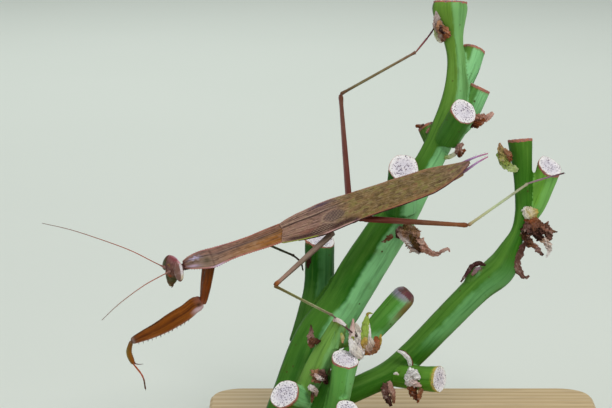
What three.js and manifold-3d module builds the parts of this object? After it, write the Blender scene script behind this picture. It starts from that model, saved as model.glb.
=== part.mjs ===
// A life-size praying mantis of the genus Tenodera, gripping a cut, forked green stem
// that stands on a display base. Millimetres, +Z up; the origin is the middle of the
// base's underside, and +X runs from the insect's head towards its tail.
import * as THREE from "three";
import { mergeVertices } from "three/addons/utils/BufferGeometryUtils.js";
import Module from "manifold-3d";

const wasm = await Module();
wasm.setup();

// ---------- driving dimensions ----------
const BODY_GAP = 0.12; // clearance between the insect's pieces
const STEM_GAP = 0.3; // clearance between the perch's pieces
const STEM_SIDES = 10;

const BASE = { length: 104, width: 72, thickness: 6, corner: 8, bevel: 0.8 };
const ROD = { radius: 3.2, x: -27.5, y: -9 };
const BUTT_HEIGHT = 12; // where the perch's lower ends are cut off level

// The insect's frame: +x to the head, +y to its left, +z out of its back, with the
// origin between the wings' roots.
const WING_ROOT = new THREE.Vector3(-31.8, -15.5, 61.4);
const HEADING = { yaw: -175.72, pitch: 19.35, roll: -50.27 };

const PRONOTUM = { length: 26.2, raised: 8, turned: 2.2 };
const WING = { thickness: 0.5, crown: 1.2, fold: 1.35 };
const ABDOMEN = { front: -15.5, rear: -47.5, halfWidth: 2.6, halfDepth: 1.95, segments: 8 };
const THORAX = { front: 1.2, rear: -17.5, halfWidth: 2.75, halfDepth: 2.1, axisHeight: -2.0 };

const HEAD = { centre: [28.75, 1.12, 3.98], yaw: 15, pitch: -31, roll: 23, scale: 0.97 };
const EYE = { side: 2.5, rise: 0.6, forward: -0.1, depth: 1.25, width: 1.15, height: 2.75, tilt: 22 };

const FEELER = { rootRadius: 0.4, tipRadius: 0.25, rings: 12, thickRings: 4 };
const CERCUS = { rootRadius: 0.45, tipRadius: 0.25, beads: 9 };

// Points of each leg in the insect's frame: the coxa, femur, tibia and tarsus each
// run along their own list, and each list starts where the last one ends.
const LEGS = {
  front_left: {
    coxa: [[19.5, 2.0, 1.0], [25, 6.2, -9.9]],
    femur: [[25, 6.2, -9.9], [45.2, 9.6, -9.4]],
    tibia: [[45.2, 9.6, -9.4], [46.9, 10.7, -12.8], [47.1, 12.4, -16.4]],
    tarsus: [[47.1, 12.4, -16.4], [46.1, 15.1, -19.8], [46.6, 17.35, -22.55]],
  },
  front_right: {
    coxa: [[19.5, -0.6, 1.0], [25.3, 3.83, -14.85]],
    femur: [[25.3, 3.83, -14.85], [45.68, 7.26, -14.35]],
    tibia: [[45.68, 7.26, -14.35], [47.39, 8.38, -17.76], [47.59, 10.1, -21.37]],
    tarsus: [[47.59, 10.1, -21.37], [46.58, 12.83, -24.79], [47.12, 15.1, -27.55]],
  },
  middle_left: {
    coxa: [[-9.8, 1.3, -3.4], [-12, 2.6, -4.2]],
    femur: [[-12, 2.6, -4.2], [6.4, 11.8, -2.6]],
    tibia: [[6.4, 11.8, -2.6], [-4.7, 19.5, -14.4]],
    tarsus: [[-4.7, 19.5, -14.4], [-7, 23.5, -16], [-9.3, 25.8, -19.9]],
  },
  middle_right: {
    coxa: [[-9.8, -1.3, -3.4], [-13, -2.6, -4.2]],
    femur: [[-13, -2.6, -4.2], [5.8, -1.4, -3.8]],
    tibia: [[5.8, -1.4, -3.8], [-0.4, -3.1, -20.9]],
    tarsus: [[-0.4, -3.1, -20.9], [-1.5, -2, -23.7], [-1.3, -1, -26.4]],
  },
  hind_left: {
    coxa: [[-15.4, 1.2, -3.2], [-18.9, 1.7, -3.3]],
    femur: [[-18.9, 1.7, -3.3], [-44.2, 12.9, -5.4]],
    tibia: [[-44.2, 12.9, -5.4], [-63.4, 0.4, -20.4]],
    tarsus: [[-63.4, 0.4, -20.4], [-68.1, 0.3, -21.1], [-73.3, -0.1, -22.9]],
  },
  hind_right: {
    coxa: [[-15.4, -1.2, -3.2], [-18.1, -2.8, -3.7]],
    femur: [[-18.1, -2.8, -3.7], [-25.5, -27.6, 7.3]],
    tibia: [[-25.5, -27.6, 7.3], [-47.9, -37.7, -3.3]],
    tarsus: [[-47.9, -37.7, -3.3], [-52.9, -41, -3], [-55.4, -42.8, -2.2], [-57.4, -43.6, -0.4]],
  },
};
const FRONT_LEG = { coxa: 1.2, femur: 2.28, femurThickness: 0.48, tibia: 0.7, tarsus: 0.27 };
const FEMUR_LEAN = 0.62; // how far the femur's depth is turned from the folding plane to BROADSIDE
const WALKING_LEG = { coxa: 1.05, femurRoot: 0.78, femurTip: 0.54, tibia: 0.38, tarsus: 0.27 };

// The perch's stems: centre line points with the stem's radius at each, x, y, z, r.
const STEMS = {
  perch_stem: [
    [-30.8, -8.5, 11, 6.2], [-24, -3.5, 28.9, 6], [-17, 0.1, 38.7, 5.7], [-11.3, 2.1, 48.1, 5.7],
    [-3.3, 4.7, 60.2, 5.2], [2.2, 6.6, 69, 4.3], [6.3, 8, 75.9, 3.6], [10.2, 10.2, 83.9, 3.7],
    [12.6, 12.4, 91.6, 3.3], [12.9, 15.2, 99.8, 2.4], [12.1, 16.5, 105.9, 2.7], [11.3, 17.9, 112.5, 4.6],
    [11.3, 18.4, 115, 4.4],
  ],
  perch_branch: [
    [-22, -10.5, 13, 3.3], [-17.8, -9.7, 16.7, 3.3], [-10.1, -8, 19.9, 3.2], [-3.9, -6.4, 22.6, 3.4],
    [2.1, -4.3, 27.4, 3.5], [9.9, -1.7, 34.9, 3.6], [18.4, 1.1, 42.9, 3.8], [24.2, 3, 47.5, 4.2],
    [26.8, 4, 52.5, 2.9], [28.8, 5.1, 56.6, 2], [30, 6.4, 60.2, 2.1], [30.5, 8, 64, 2.3],
    [30.3, 10.1, 71, 2.5], [29.6, 12, 79.9, 3.3],
  ],
  perch_stub_inner: [
    [-27, 0.9, 27.8, 3.6], [-24.4, 3.5, 35.2, 3.9], [-22.6, 6.1, 42.6, 3.9], [-22.4, 7.5, 54, 3.9],
  ],
  perch_stub_low: [
    [-20.5, -9.5, 13, 3.1], [-18.6, -15.6, 15.4, 3], [-17.2, -18.6, 22.7, 3], [-16.2, -19.2, 29.6, 3.5],
  ],
  perch_stub_front: [
    [-27, -11.5, 14, 3.3], [-26, -12.4, 18.3, 3.3], [-22.4, -13.5, 27.3, 3.2], [-17.2, -13.8, 37.9, 2.2],
  ],
  perch_scar: [[-20.6, -12.8, 32, 2.2], [-13.6, -12.6, 33.2, 1.6]],
  perch_stub_base: [[-26.5, -11.8, 16.2, 3.3], [-31.4, -18.1, 20.2, 3.9]],
  perch_stub_end: [[-2.9, -6.5, 22.1, 3.3], [3.1, -10.5, 22.2, 3.2], [7.8, -13.5, 22.8, 3.4]],
  perch_stub_side: [
    [-17, -4.6, 23.6, 2.6], [-9, -3.2, 32.4, 2.8], [-4.4, -3.1, 37.7, 3.1], [0.4, -3, 43, 3],
  ],
  perch_stub_middle: [[-1.8, 2.2, 62.9, 4], [-1.1, -0.3, 75.1, 3.8]],
  perch_stub_left: [[8, 11.5, 77.8, 2.6], [5.5, 14.6, 82.8, 2.5]],
  perch_stub_upper: [[10.3, 7, 80.8, 3.2], [14.1, 1.6, 89.1, 3.5]],
  perch_stub_top: [[12.6, 14, 92.1, 2.6], [15.3, 16.4, 96.2, 3.2], [17.8, 19.8, 102.3, 3.1]],
  perch_stub_right: [[31.6, 7.7, 60.1, 2.2], [34, 9, 63.8, 2.6], [37.2, 10.5, 73, 3.3]],
  perch_stub_back: [[10.5, 10.5, 80.5, 2.4], [15.2, 12.3, 85.2, 2.8], [19.2, 13.6, 93.2, 2.8]],
};

const COLOURS = {
  head: 0x8a625c, eye: 0x8d7a5a, mouth: 0x4a4028, feeler: 0xa8563c, pronotum: 0x8a6a58,
  wing: 0x7d6240, abdomen: 0x94704a, cercus: 0x8b5f74, frontLeg: 0x8c4514, leg: 0x7a4f3c,
  shin: 0x98936a, stem: 0x5d9434, base: 0xc9b48c, rod: 0xb9bcbe,
};

// ---------- shape helpers ----------
const vector = (point) => new THREE.Vector3(...point);
const mix = (a, b, share) => a + (b - a) * share;
const radians = THREE.MathUtils.degToRad;

// The value at x on the broken line through [x, value] pairs.
function profile(pairs, x) {
  if (x <= pairs[0][0]) return pairs[0][1];
  for (let i = 1; i < pairs.length; i++) {
    const [x1, v1] = pairs[i];
    const [x0, v0] = pairs[i - 1];
    if (x <= x1) return mix(v0, v1, (x - x0) / (x1 - x0));
  }
  return pairs[pairs.length - 1][1];
}

// A closed body through rings of equal numbers of points, its ends closed by fans.
function closedLoft(rings) {
  const count = rings[0].length;
  const corners = rings.flat();
  const faces = [];
  for (let i = 0; i < rings.length - 1; i++) {
    for (let j = 0; j < count; j++) {
      const a = i * count + j;
      const b = i * count + ((j + 1) % count);
      faces.push(a, b, b + count, a, b + count, a + count);
    }
  }
  for (const [ring, turned] of [[0, true], [rings.length - 1, false]]) {
    const middle = corners.length;
    corners.push(rings[ring].reduce((sum, p) => sum.add(p), new THREE.Vector3()).divideScalar(count));
    for (let j = 0; j < count; j++) {
      const a = ring * count + j;
      const b = ring * count + ((j + 1) % count);
      faces.push(...(turned ? [b, a, middle] : [a, b, middle]));
    }
  }
  if (volumeOf(corners, faces) < 0) {
    for (let i = 0; i < faces.length; i += 3) [faces[i], faces[i + 1]] = [faces[i + 1], faces[i]];
  }
  const geometry = new THREE.BufferGeometry().setFromPoints(corners);
  geometry.setIndex(faces);
  return geometry;
}

function volumeOf(corners, faces) {
  let sum = 0;
  for (let i = 0; i < faces.length; i += 3) {
    const [a, b, c] = [corners[faces[i]], corners[faces[i + 1]], corners[faces[i + 2]]];
    sum += a.dot(new THREE.Vector3().crossVectors(b, c)) / 6;
  }
  return sum;
}

// A limb along a curve, with a ring at each [share of its length, half width]. `flat`
// is the share of the half width that its half thickness has, and `broad` the
// direction that the width lies in.
function limb({ path, stations, flat = 1, broad = [0, 0, 1], sides = 8 }, grow = 0) {
  const points = path.map(vector);
  const curve = points.length > 2
    ? new THREE.CatmullRomCurve3(points, false, "centripetal")
    : new THREE.LineCurve3(points[0], points[1]);
  const rings = stations.map(([share, half], index) => {
    const along = curve.getTangentAt(share);
    const centre = curve.getPointAt(share);
    if (index === 0) centre.addScaledVector(along, -grow);
    if (index === stations.length - 1) centre.addScaledVector(along, grow);
    const wide = vector(broad);
    wide.addScaledVector(along, -wide.dot(along)).normalize();
    const thin = new THREE.Vector3().crossVectors(along, wide);
    return Array.from({ length: sides }, (_, j) => {
      const turn = (2 * Math.PI * j) / sides;
      return centre.clone()
        .addScaledVector(wide, (half + grow) * Math.cos(turn))
        .addScaledVector(thin, (half * flat + grow) * Math.sin(turn));
    });
  });
  return closedLoft(rings);
}

// Even stations whose half width runs from one size to another.
function taper(first, last, count, power = 1) {
  return Array.from({ length: count + 1 }, (_, i) => [
    i / count, mix(first, last, (i / count) ** power),
  ]);
}

// ---------- solids and booleans ----------
function solidFrom(geometry) {
  const plain = geometry.clone();
  plain.deleteAttribute("normal");
  plain.deleteAttribute("uv");
  const merged = mergeVertices(plain, 1e-4);
  return new wasm.Manifold(new wasm.Mesh({
    numProp: 3,
    vertProperties: merged.attributes.position.array,
    triVerts: new Uint32Array(merged.index.array),
  }));
}

function geometryFrom(solid) {
  const { vertProperties, triVerts, numProp } = solid.getMesh();
  const positions = [];
  for (let i = 0; i < vertProperties.length; i += numProp) {
    positions.push(vertProperties[i], vertProperties[i + 1], vertProperties[i + 2]);
  }
  const geometry = new THREE.BufferGeometry();
  geometry.setAttribute("position", new THREE.Float32BufferAttribute(positions, 3));
  geometry.setIndex(Array.from(triVerts));
  geometry.computeVertexNormals();
  return geometry;
}

// A piece is a function of `grow`: its own solid at 0, and a swollen one that cuts
// its neighbours so that they stand clear of it.
const piece = (make) => (grow = 0) => solidFrom(make(grow));

// The biggest single body of a solid.
function mainBody(solid) {
  const bodies = solid.decompose();
  return bodies.reduce((best, body) => (body.volume() > best.volume() ? body : best));
}

function clearOf(maker, neighbours, gap) {
  const solid = neighbours.reduce((rest, other) => rest.subtract(other(gap)), maker());
  return mainBody(solid);
}

function addMesh(group, name, solid, colour, roughness = 0.6, metalness = 0) {
  const material = new THREE.MeshStandardMaterial({ color: colour, roughness, metalness });
  const mesh = new THREE.Mesh(geometryFrom(solid), material);
  mesh.name = name;
  group.add(mesh);
}

// ---------- head ----------
function headMatrix() {
  const turn = new THREE.Euler(radians(HEAD.roll), radians(HEAD.pitch), radians(HEAD.yaw), "ZYX");
  return new THREE.Matrix4()
    .makeRotationFromEuler(turn)
    .scale(new THREE.Vector3(HEAD.scale, HEAD.scale, HEAD.scale))
    .setPosition(vector(HEAD.centre));
}

// The capsule, a three-cornered shield, in rings from the vertex down to the mouth:
// height, half width, reach forward, reach back.
function headCapsule(grow) {
  const rows = [
    [3.4, 0.9, 0.2, 0.6], [3.1, 1.7, 0.55, 1.0], [2.4, 2.2, 0.95, 1.3], [1.5, 2.45, 1.25, 1.5],
    [0.6, 2.55, 1.4, 1.55], [-0.5, 2.3, 1.45, 1.4], [-1.6, 1.8, 1.35, 1.15], [-2.7, 1.3, 1.2, 0.8],
    [-3.8, 0.95, 0.95, 0.4],
  ];
  const sides = 14;
  const rings = rows.map(([height, half, ahead, behind], index) => {
    const end = index === 0 ? grow : index === rows.length - 1 ? -grow : 0;
    const ring = [];
    for (let j = 0; j < sides; j++) {
      const turn = (2 * Math.PI * j) / sides;
      const reach = Math.cos(turn) > 0 ? ahead : behind;
      ring.push(new THREE.Vector3(
        (reach + grow) * Math.cos(turn), (half + grow) * Math.sin(turn), height + end));
    }
    return ring;
  });
  return closedLoft(rings).applyMatrix4(headMatrix());
}

function eye(side) {
  return (grow) => new THREE.SphereGeometry(1, 12, 8)
    .scale(EYE.depth + grow, EYE.width + grow, EYE.height + grow)
    .rotateX(radians(EYE.tilt * side))
    .translate(EYE.forward, side * EYE.side, EYE.rise)
    .applyMatrix4(headMatrix());
}

function mouthparts(grow) {
  return limb({
    path: [[0.35, 0, -3.7], [0.35, 0, -4.4], [0.2, 0, -5.1]],
    stations: taper(0.85, 0.35, 4, 2),
    flat: 0.85,
    broad: [0, 1, 0],
    sides: 10,
  }, grow).applyMatrix4(headMatrix());
}

const FEELER_PATHS = {
  antenna_left: [
    [29.39, 2.1, 5.2], [32.1, 3.5, 7.2], [35.6, 6.3, 11.4], [39.3, 9.5, 15.4], [43.2, 13, 19.2],
    [47.3, 17, 22.8],
  ],
  antenna_right: [
    [30.22, 0.51, 4.56], [32.3, -1.1, 6.2], [37, -5.1, 9.3], [42.9, -8.7, 13.4], [48.9, -12, 17.3],
    [54.7, -14.9, 19.9],
  ],
};

function feeler(path) {
  const { rootRadius, tipRadius, rings, thickRings } = FEELER;
  const stations = Array.from({ length: rings + 1 }, (_, i) => [
    i / rings, mix(rootRadius, tipRadius, Math.min(1, i / thickRings)),
  ]);
  return (grow) => limb({ path, stations, sides: 5 }, grow);
}

const neck = (grow) => limb({
  path: [[24.2, 0.8, 2.3], [26.2, 1.0, 2.8], [28.3, 1.05, 3.8]],
  stations: taper(0.95, 0.95, 3),
}, grow);

// ---------- trunk ----------
// A trunk section seen from the front: the back above and the belly below meet at a
// sharp margin on each side.
function shieldRing(x, half, back, belly, grow, sides, backPower, bellyPower) {
  const ring = [];
  for (let j = 0; j < sides; j++) {
    const turn = (2 * Math.PI * j) / sides;
    const across = Math.cos(turn);
    const height = Math.sin(turn) >= 0
      ? (back + grow) * (1 - Math.abs(across) ** backPower)
      : -(belly + grow) * (1 - Math.abs(across) ** bellyPower);
    ring.push(new THREE.Vector3(x, (half + grow) * across, height));
  }
  return ring;
}

function pronotum(grow) {
  const { length } = PRONOTUM;
  const halfWidth = [
    [0, 2.6], [4.3, 2.5], [8.4, 2.25], [12.5, 2.23], [14.4, 2.32], [16.6, 2.5], [17.6, 2.63], [19, 2.75],
    [20.7, 2.65], [22.7, 2.3], [24.6, 1.8], [25.5, 1.35], [length, 0.85],
  ];
  const middle = [
    [0, -0.12], [4.3, 0.12], [8.4, 0.27], [12.5, 0.3], [16.6, 0.46], [19, 0.56], [20.7, 0.31], [22.7, 0.08],
    [length, -0.2],
  ];
  const back = [[0, 0.9], [14, 0.75], [18.6, 0.7], [19.4, 0.85], [24, 0.7], [length, 0.25]];
  const belly = [[0, 1.5], [6, 1.3], [14, 1.3], [19, 1.7], [23, 1.4], [length, 0.6]];
  const stations = [0, 4.3, 8.4, 12.5, 14.8, 17.2, 18.6, 19.4, 20.9, 22.7, 24.4, 25.5, length];
  const rings = stations.map((x, index) => {
    const end = index === 0 ? -grow : index === stations.length - 1 ? grow : 0;
    const across = profile(halfWidth, x);
    const ring = shieldRing(x + end, across, profile(back, x), profile(belly, x), grow, 16, 1.6, 3);
    ring.forEach((p) => (p.y += profile(middle, x)));
    return ring;
  });
  return closedLoft(rings).rotateY(radians(-PRONOTUM.raised)).rotateZ(radians(PRONOTUM.turned));
}

function thorax(grow) {
  const { front, rear, halfWidth, halfDepth, axisHeight } = THORAX;
  const steps = 6;
  const rings = [];
  for (let i = 0; i <= steps; i++) {
    const t = i / steps;
    const end = i === 0 ? grow : i === steps ? -grow : 0;
    const fullness = 0.72 + 0.28 * Math.sin(Math.PI * Math.min(1, t * 1.25)) ** 0.7;
    const drop = mix(0.5, 0, Math.min(1, t * 3));
    const ring = shieldRing(mix(front, rear, t) + end, halfWidth * fullness, halfDepth * fullness,
      halfDepth * fullness, grow, 12, 2.4, 2.2);
    ring.forEach((p) => (p.z += axisHeight + drop));
    rings.push(ring);
  }
  return closedLoft(rings);
}

// Each ring of the abdomen flares a little to its rear edge.
function abdomen(grow) {
  const { front, rear, halfWidth, halfDepth, segments } = ABDOMEN;
  const rings = [];
  for (let i = 0; i < segments; i++) {
    for (const [share, flare] of [[0.02, 0.95], [0.98, 1.03]]) {
      const t = (i + share) / segments;
      const fullness = Math.min(1, 0.82 + t) * (t < 0.62 ? 1 : Math.sqrt(1 - ((t - 0.62) / 0.44) ** 2));
      const half = halfWidth * fullness * flare;
      const deep = halfDepth * fullness * flare;
      const last = i === segments - 1 && share > 0.5;
      const end = i === 0 && share < 0.5 ? grow : last ? -grow : 0;
      const ring = shieldRing(mix(front, rear, t) + end, half, deep, deep, grow, 12, 2.1, 2.2);
      ring.forEach((p) => (p.z += mix(-1.9, -1.4, t)));
      rings.push(ring);
    }
  }
  return closedLoft(rings);
}

// ---------- wings ----------
const WING_HALF_WIDTH = [
  [0, 2.6], [2, 3.2], [4.5, 3.72], [9.8, 4.33], [13.8, 4.25], [19, 3.93], [26, 3.78], [31, 3.78],
  [39, 3.5], [42, 2.95], [44.4, 2.3], [47, 1.5], [48.7, 0.85], [50, 0.35],
];
const WING_MIDDLE = [
  [0, 0], [9, 0], [14, -0.25], [20, -0.25], [31, 0.05], [39, 0.25], [44.4, 0.1], [47, -0.2], [50, -0.8],
];

// The upper face of the folded wings, `back` mm behind their roots and `across` mm from
// their middle line.
function wingTop(back, across) {
  const half = profile(WING_HALF_WIDTH, back);
  const share = Math.min(1, Math.abs(across) / half);
  const crown = profile([[0, 0.95], [4, WING.crown], [38, 0.8], [50, 0.4]], back);
  const fold = profile([[0, 0.9], [7, WING.fold], [35, 1.0], [44, 0.5], [50, 0.1]], back);
  return crown - fold * share ** 2.6;
}

// One folded forewing: a curved plate from the middle line to the outer edge.
function wing(side) {
  return (grow) => {
    const stations = [0.15, 2, 4.5, 9.8, 13.8, 19, 26, 33, 39, 42, 44.4, 47, 48.7, 50];
    const columns = [0, 0.35, 0.65, 0.85, 1];
    const inner = BODY_GAP / 2;
    const rings = stations.map((back, index) => {
      const end = index === 0 ? grow : index === stations.length - 1 ? -grow : 0;
      const half = profile(WING_HALF_WIDTH, back);
      const middle = profile(WING_MIDDLE, back);
      const edge = (lift) => columns.map((share) => {
        const across = mix(inner - grow, half + grow, share);
        return new THREE.Vector3(-back + end, middle + side * across, wingTop(back, across) + lift);
      });
      return [...edge(grow), ...edge(-WING.thickness - grow).reverse()];
    });
    return closedLoft(rings);
  };
}

function cercus(side) {
  const path = side > 0
    ? [[-46.2, 0.9, -1.5], [-49, 0.2, -1.2], [-52, -0.5, -0.9], [-54.8, -0.9, -0.7]]
    : [[-46.2, -1.5, -1.4], [-49, -1.9, -1.0], [-52, -2.0, -0.8], [-55.1, -1.8, -0.8]];
  return (grow) => limb({
    path,
    stations: taper(CERCUS.rootRadius, CERCUS.tipRadius, CERCUS.beads),
    sides: 6,
  }, grow);
}

// ---------- legs ----------
const lerpPoints = (from, to, share) => vector(from).lerp(vector(to), share).toArray();

// A row of spines along a limb, as a list of cones.
const SPINE_TIP = 0.09;
function spineRow({ from, to, count, out, length, radius, lean = 0.35 }) {
  const along = vector(to).sub(vector(from)).normalize();
  const way = out.clone().addScaledVector(along, lean).normalize();
  return Array.from({ length: count }, (_, i) => {
    const root = vector(from).lerp(vector(to), (i + 0.5) / count);
    const tip = root.clone().addScaledVector(way, length * (i % 2 ? 0.72 : 1));
    return limb({
      path: [root.toArray(), tip.toArray()],
      stations: taper(radius, SPINE_TIP, 1),
      broad: along.toArray(),
      sides: 4,
    });
  });
}

function withSpines(maker, spines) {
  return (grow = 0) => spines.reduce((sum, spine) => sum.add(solidFrom(spine)), maker(grow));
}

// The way the flat sides of the raptorial legs face.
const BROADSIDE = new THREE.Vector3(0, 0.45, 0.89);

// A raptorial leg. Its femur is deep, and thin from side to side.
function frontLeg(points) {
  const size = FRONT_LEG;
  const [trochanter, knee] = points.femur;
  const ankle = points.tibia[points.tibia.length - 1];
  const back = vector(trochanter).sub(vector(knee)).normalize();
  const deep = vector(ankle).sub(vector(knee));
  deep.addScaledVector(back, -deep.dot(back)).normalize();
  const upright = new THREE.Vector3().crossVectors(BROADSIDE, back).normalize();
  if (upright.dot(deep) < 0) upright.negate();
  deep.lerp(upright, FEMUR_LEAN).normalize();
  const beside = (point, way, amount) => vector(point).addScaledVector(way, amount).toArray();

  const coxa = piece((grow) => limb({
    path: points.coxa,
    stations: [[0, 0.95], [0.1, size.coxa], [0.4, size.coxa], [0.75, 1.02], [0.94, 0.9], [1, 0.7]],
    flat: 0.85, broad: [1, 0, 0], sides: 9,
  }, grow));
  const shape = [
    [0, 0.55], [0.03, 0.85], [0.08, 1.02], [0.2, 1.05], [0.35, 1.05], [0.5, 0.98], [0.65, 0.86], [0.8, 0.68],
    [0.92, 0.5], [1, 0.3],
  ];
  const femur = piece((grow) => limb({
    path: points.femur, stations: shape.map(([share, fullness]) => [share, size.femur * fullness]),
    flat: size.femurThickness, broad: deep.toArray(), sides: 10,
  }, grow));
  const femurSpines = spineRow({
    from: beside(lerpPoints(trochanter, knee, 0.32), deep, 2.1),
    to: beside(lerpPoints(trochanter, knee, 0.9), deep, 0.95),
    count: 7, out: deep, length: 0.8, radius: 0.26,
  });
  const tibia = piece((grow) => limb({
    path: points.tibia,
    stations: [[0, 0.42], [0.08, 0.6], [0.4, size.tibia], [0.8, size.tibia], [0.95, 0.52], [1, 0.38]],
    flat: 0.75, broad: back.toArray(),
  }, grow));
  const tibiaSpines = spineRow({
    from: beside(lerpPoints(knee, ankle, 0.3), back, 0.15),
    to: beside(lerpPoints(knee, ankle, 0.95), back, 0.15),
    count: 4, out: back, length: 0.95, radius: 0.24,
  });
  const claw = limb({
    path: [lerpPoints(knee, ankle, 0.93), beside(lerpPoints(knee, ankle, 1.04), back, 1.1),
      beside(lerpPoints(knee, ankle, 1.1), back, 2.4)],
    stations: taper(0.36, 0.1, 3), sides: 6, broad: deep.toArray(),
  });
  const tarsus = piece((grow) => limb({
    path: points.tarsus, stations: taper(size.tarsus, size.tarsus, 5), sides: 6, broad: back.toArray(),
  }, grow));
  return {
    coxa,
    femur: withSpines(femur, femurSpines),
    tibia: withSpines(tibia, [...tibiaSpines, claw]),
    tarsus,
  };
}

function walkingLeg(points) {
  const size = WALKING_LEG;
  const waist = mix(size.femurRoot, size.femurTip, 0.6);
  const shapes = {
    coxa: [[0, 0.8], [0.3, size.coxa], [0.75, 0.95], [1, 0.7]],
    femur: [
      [0, 0.55], [0.05, size.femurRoot], [0.45, waist], [0.93, size.femurTip], [0.97, 0.62], [1, 0.4],
    ],
    tibia: [
      [0, 0.45], [0.06, size.tibia], [0.5, size.tibia * 0.92], [0.95, size.tibia * 0.82], [1, 0.3],
    ],
    tarsus: taper(size.tarsus, size.tarsus, 6),
  };
  const sides = { coxa: 8, femur: 8, tibia: 6, tarsus: 6 };
  return Object.fromEntries(Object.entries(shapes).map(([segment, stations]) => [
    segment, piece((grow) => limb({ path: points[segment], stations, sides: sides[segment] }, grow)),
  ]));
}

// ---------- perch and stand ----------
function stem(points) {
  const share = (t) => {
    const at = t * (points.length - 1);
    const index = Math.min(points.length - 2, Math.floor(at));
    return mix(points[index][3], points[index + 1][3], at - index);
  };
  return piece((grow) => {
    const path = points.map((p) => vector(p.slice(0, 3)));
    const curve = path.length > 2
      ? new THREE.CatmullRomCurve3(path)
      : new THREE.LineCurve3(path[0], path[1]);
    const steps = path.length > 2 ? Math.max(4, path.length - 1) : 2;
    const rings = [];
    const wide = new THREE.Vector3(1, 0, 0);
    for (let i = 0; i <= steps; i++) {
      const t = i / steps;
      const along = curve.getTangent(t);
      const centre = curve.getPoint(t);
      if (i === 0) centre.addScaledVector(along, -grow);
      if (i === steps) centre.addScaledVector(along, grow);
      wide.addScaledVector(along, -wide.dot(along)).normalize();
      const other = new THREE.Vector3().crossVectors(along, wide);
      const radius = share(t) + grow;
      rings.push(Array.from({ length: STEM_SIDES }, (_, j) => {
        const turn = (2 * Math.PI * j) / STEM_SIDES;
        return centre.clone()
          .addScaledVector(wide, radius * Math.cos(turn))
          .addScaledVector(other, radius * Math.sin(turn));
      }));
    }
    return closedLoft(rings);
  });
}

function standBase() {
  const { length, width, thickness, corner, bevel } = BASE;
  const [x, y] = [length / 2 - bevel, width / 2 - bevel];
  const outline = new THREE.Shape();
  outline.moveTo(-x + corner, -y);
  outline.lineTo(x - corner, -y);
  outline.absarc(x - corner, -y + corner, corner, -Math.PI / 2, 0);
  outline.lineTo(x, y - corner);
  outline.absarc(x - corner, y - corner, corner, 0, Math.PI / 2);
  outline.lineTo(-x + corner, y);
  outline.absarc(-x + corner, y - corner, corner, Math.PI / 2, Math.PI);
  outline.lineTo(-x, -y + corner);
  outline.absarc(-x + corner, -y + corner, corner, Math.PI, 1.5 * Math.PI);
  const geometry = new THREE.ExtrudeGeometry(outline, {
    depth: thickness - 2 * bevel,
    bevelEnabled: true,
    bevelThickness: bevel,
    bevelSize: bevel,
    bevelSegments: 1,
    curveSegments: 4,
  });
  return solidFrom(geometry.translate(0, 0, bevel));
}

function standRod() {
  const [bottom, top] = [BASE.thickness, BUTT_HEIGHT];
  const rod = new THREE.CylinderGeometry(ROD.radius, ROD.radius, top - bottom - 0.1, 24);
  return solidFrom(rod.rotateX(Math.PI / 2).translate(ROD.x, ROD.y, (bottom + top) / 2));
}

// ---------- assembly ----------
const mantis = new THREE.Group();
mantis.position.copy(WING_ROOT);
mantis.rotation.set(radians(HEADING.roll), radians(HEADING.pitch), radians(HEADING.yaw), "ZYX");
mantis.updateMatrix();

const parts = {
  head: piece(headCapsule),
  eye_left: piece(eye(1)),
  eye_right: piece(eye(-1)),
  mouthparts: piece(mouthparts),
  neck: piece(neck),
  pronotum: piece(pronotum),
  thorax: piece(thorax),
  abdomen: piece(abdomen),
  wing_left: piece(wing(1)),
  wing_right: piece(wing(-1)),
  cercus_left: piece(cercus(1)),
  cercus_right: piece(cercus(-1)),
  antenna_left: piece(feeler(FEELER_PATHS.antenna_left)),
  antenna_right: piece(feeler(FEELER_PATHS.antenna_right)),
};
const cutters = {
  head: ["eye_left", "eye_right"],
  mouthparts: ["head"],
  neck: ["head", "pronotum"],
  antenna_left: ["head"],
  antenna_right: ["head"],
  thorax: ["pronotum", "wing_left", "wing_right"],
  abdomen: ["thorax", "wing_left", "wing_right"],
  wing_left: ["pronotum"],
  wing_right: ["pronotum"],
  cercus_left: ["abdomen", "wing_left", "wing_right"],
  cercus_right: ["abdomen", "wing_left", "wing_right", "cercus_left"],
};
const colours = {
  head: COLOURS.head, eye_left: COLOURS.eye, eye_right: COLOURS.eye, mouthparts: COLOURS.mouth,
  neck: COLOURS.head, pronotum: COLOURS.pronotum, thorax: COLOURS.abdomen, abdomen: COLOURS.abdomen,
  wing_left: COLOURS.wing, wing_right: COLOURS.wing, cercus_left: COLOURS.cercus,
  cercus_right: COLOURS.cercus, antenna_left: COLOURS.feeler, antenna_right: COLOURS.feeler,
};

for (const [leg, points] of Object.entries(LEGS)) {
  const front = leg.startsWith("front");
  const made = front ? frontLeg(points) : walkingLeg(points);
  for (const [segment, maker] of Object.entries(made)) {
    const name = `${segment}_${leg}`;
    parts[name] = maker;
    colours[name] = front ? COLOURS.frontLeg : segment === "tibia" ? COLOURS.shin : COLOURS.leg;
  }
  cutters[`coxa_${leg}`] = front ? ["pronotum"] : ["thorax", "abdomen", "wing_left", "wing_right"];
  cutters[`femur_${leg}`] = front
    ? [`coxa_${leg}`]
    : [`coxa_${leg}`, "thorax", "abdomen", "wing_left", "wing_right"];
  cutters[`tibia_${leg}`] = [`femur_${leg}`];
  cutters[`tarsus_${leg}`] = [`tibia_${leg}`, `femur_${leg}`];
}

for (const [name, maker] of Object.entries(parts)) {
  const neighbours = (cutters[name] ?? []).map((other) => parts[other]);
  addMesh(mantis, name, clearOf(maker, neighbours, BODY_GAP), colours[name], 0.55);
}

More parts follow.
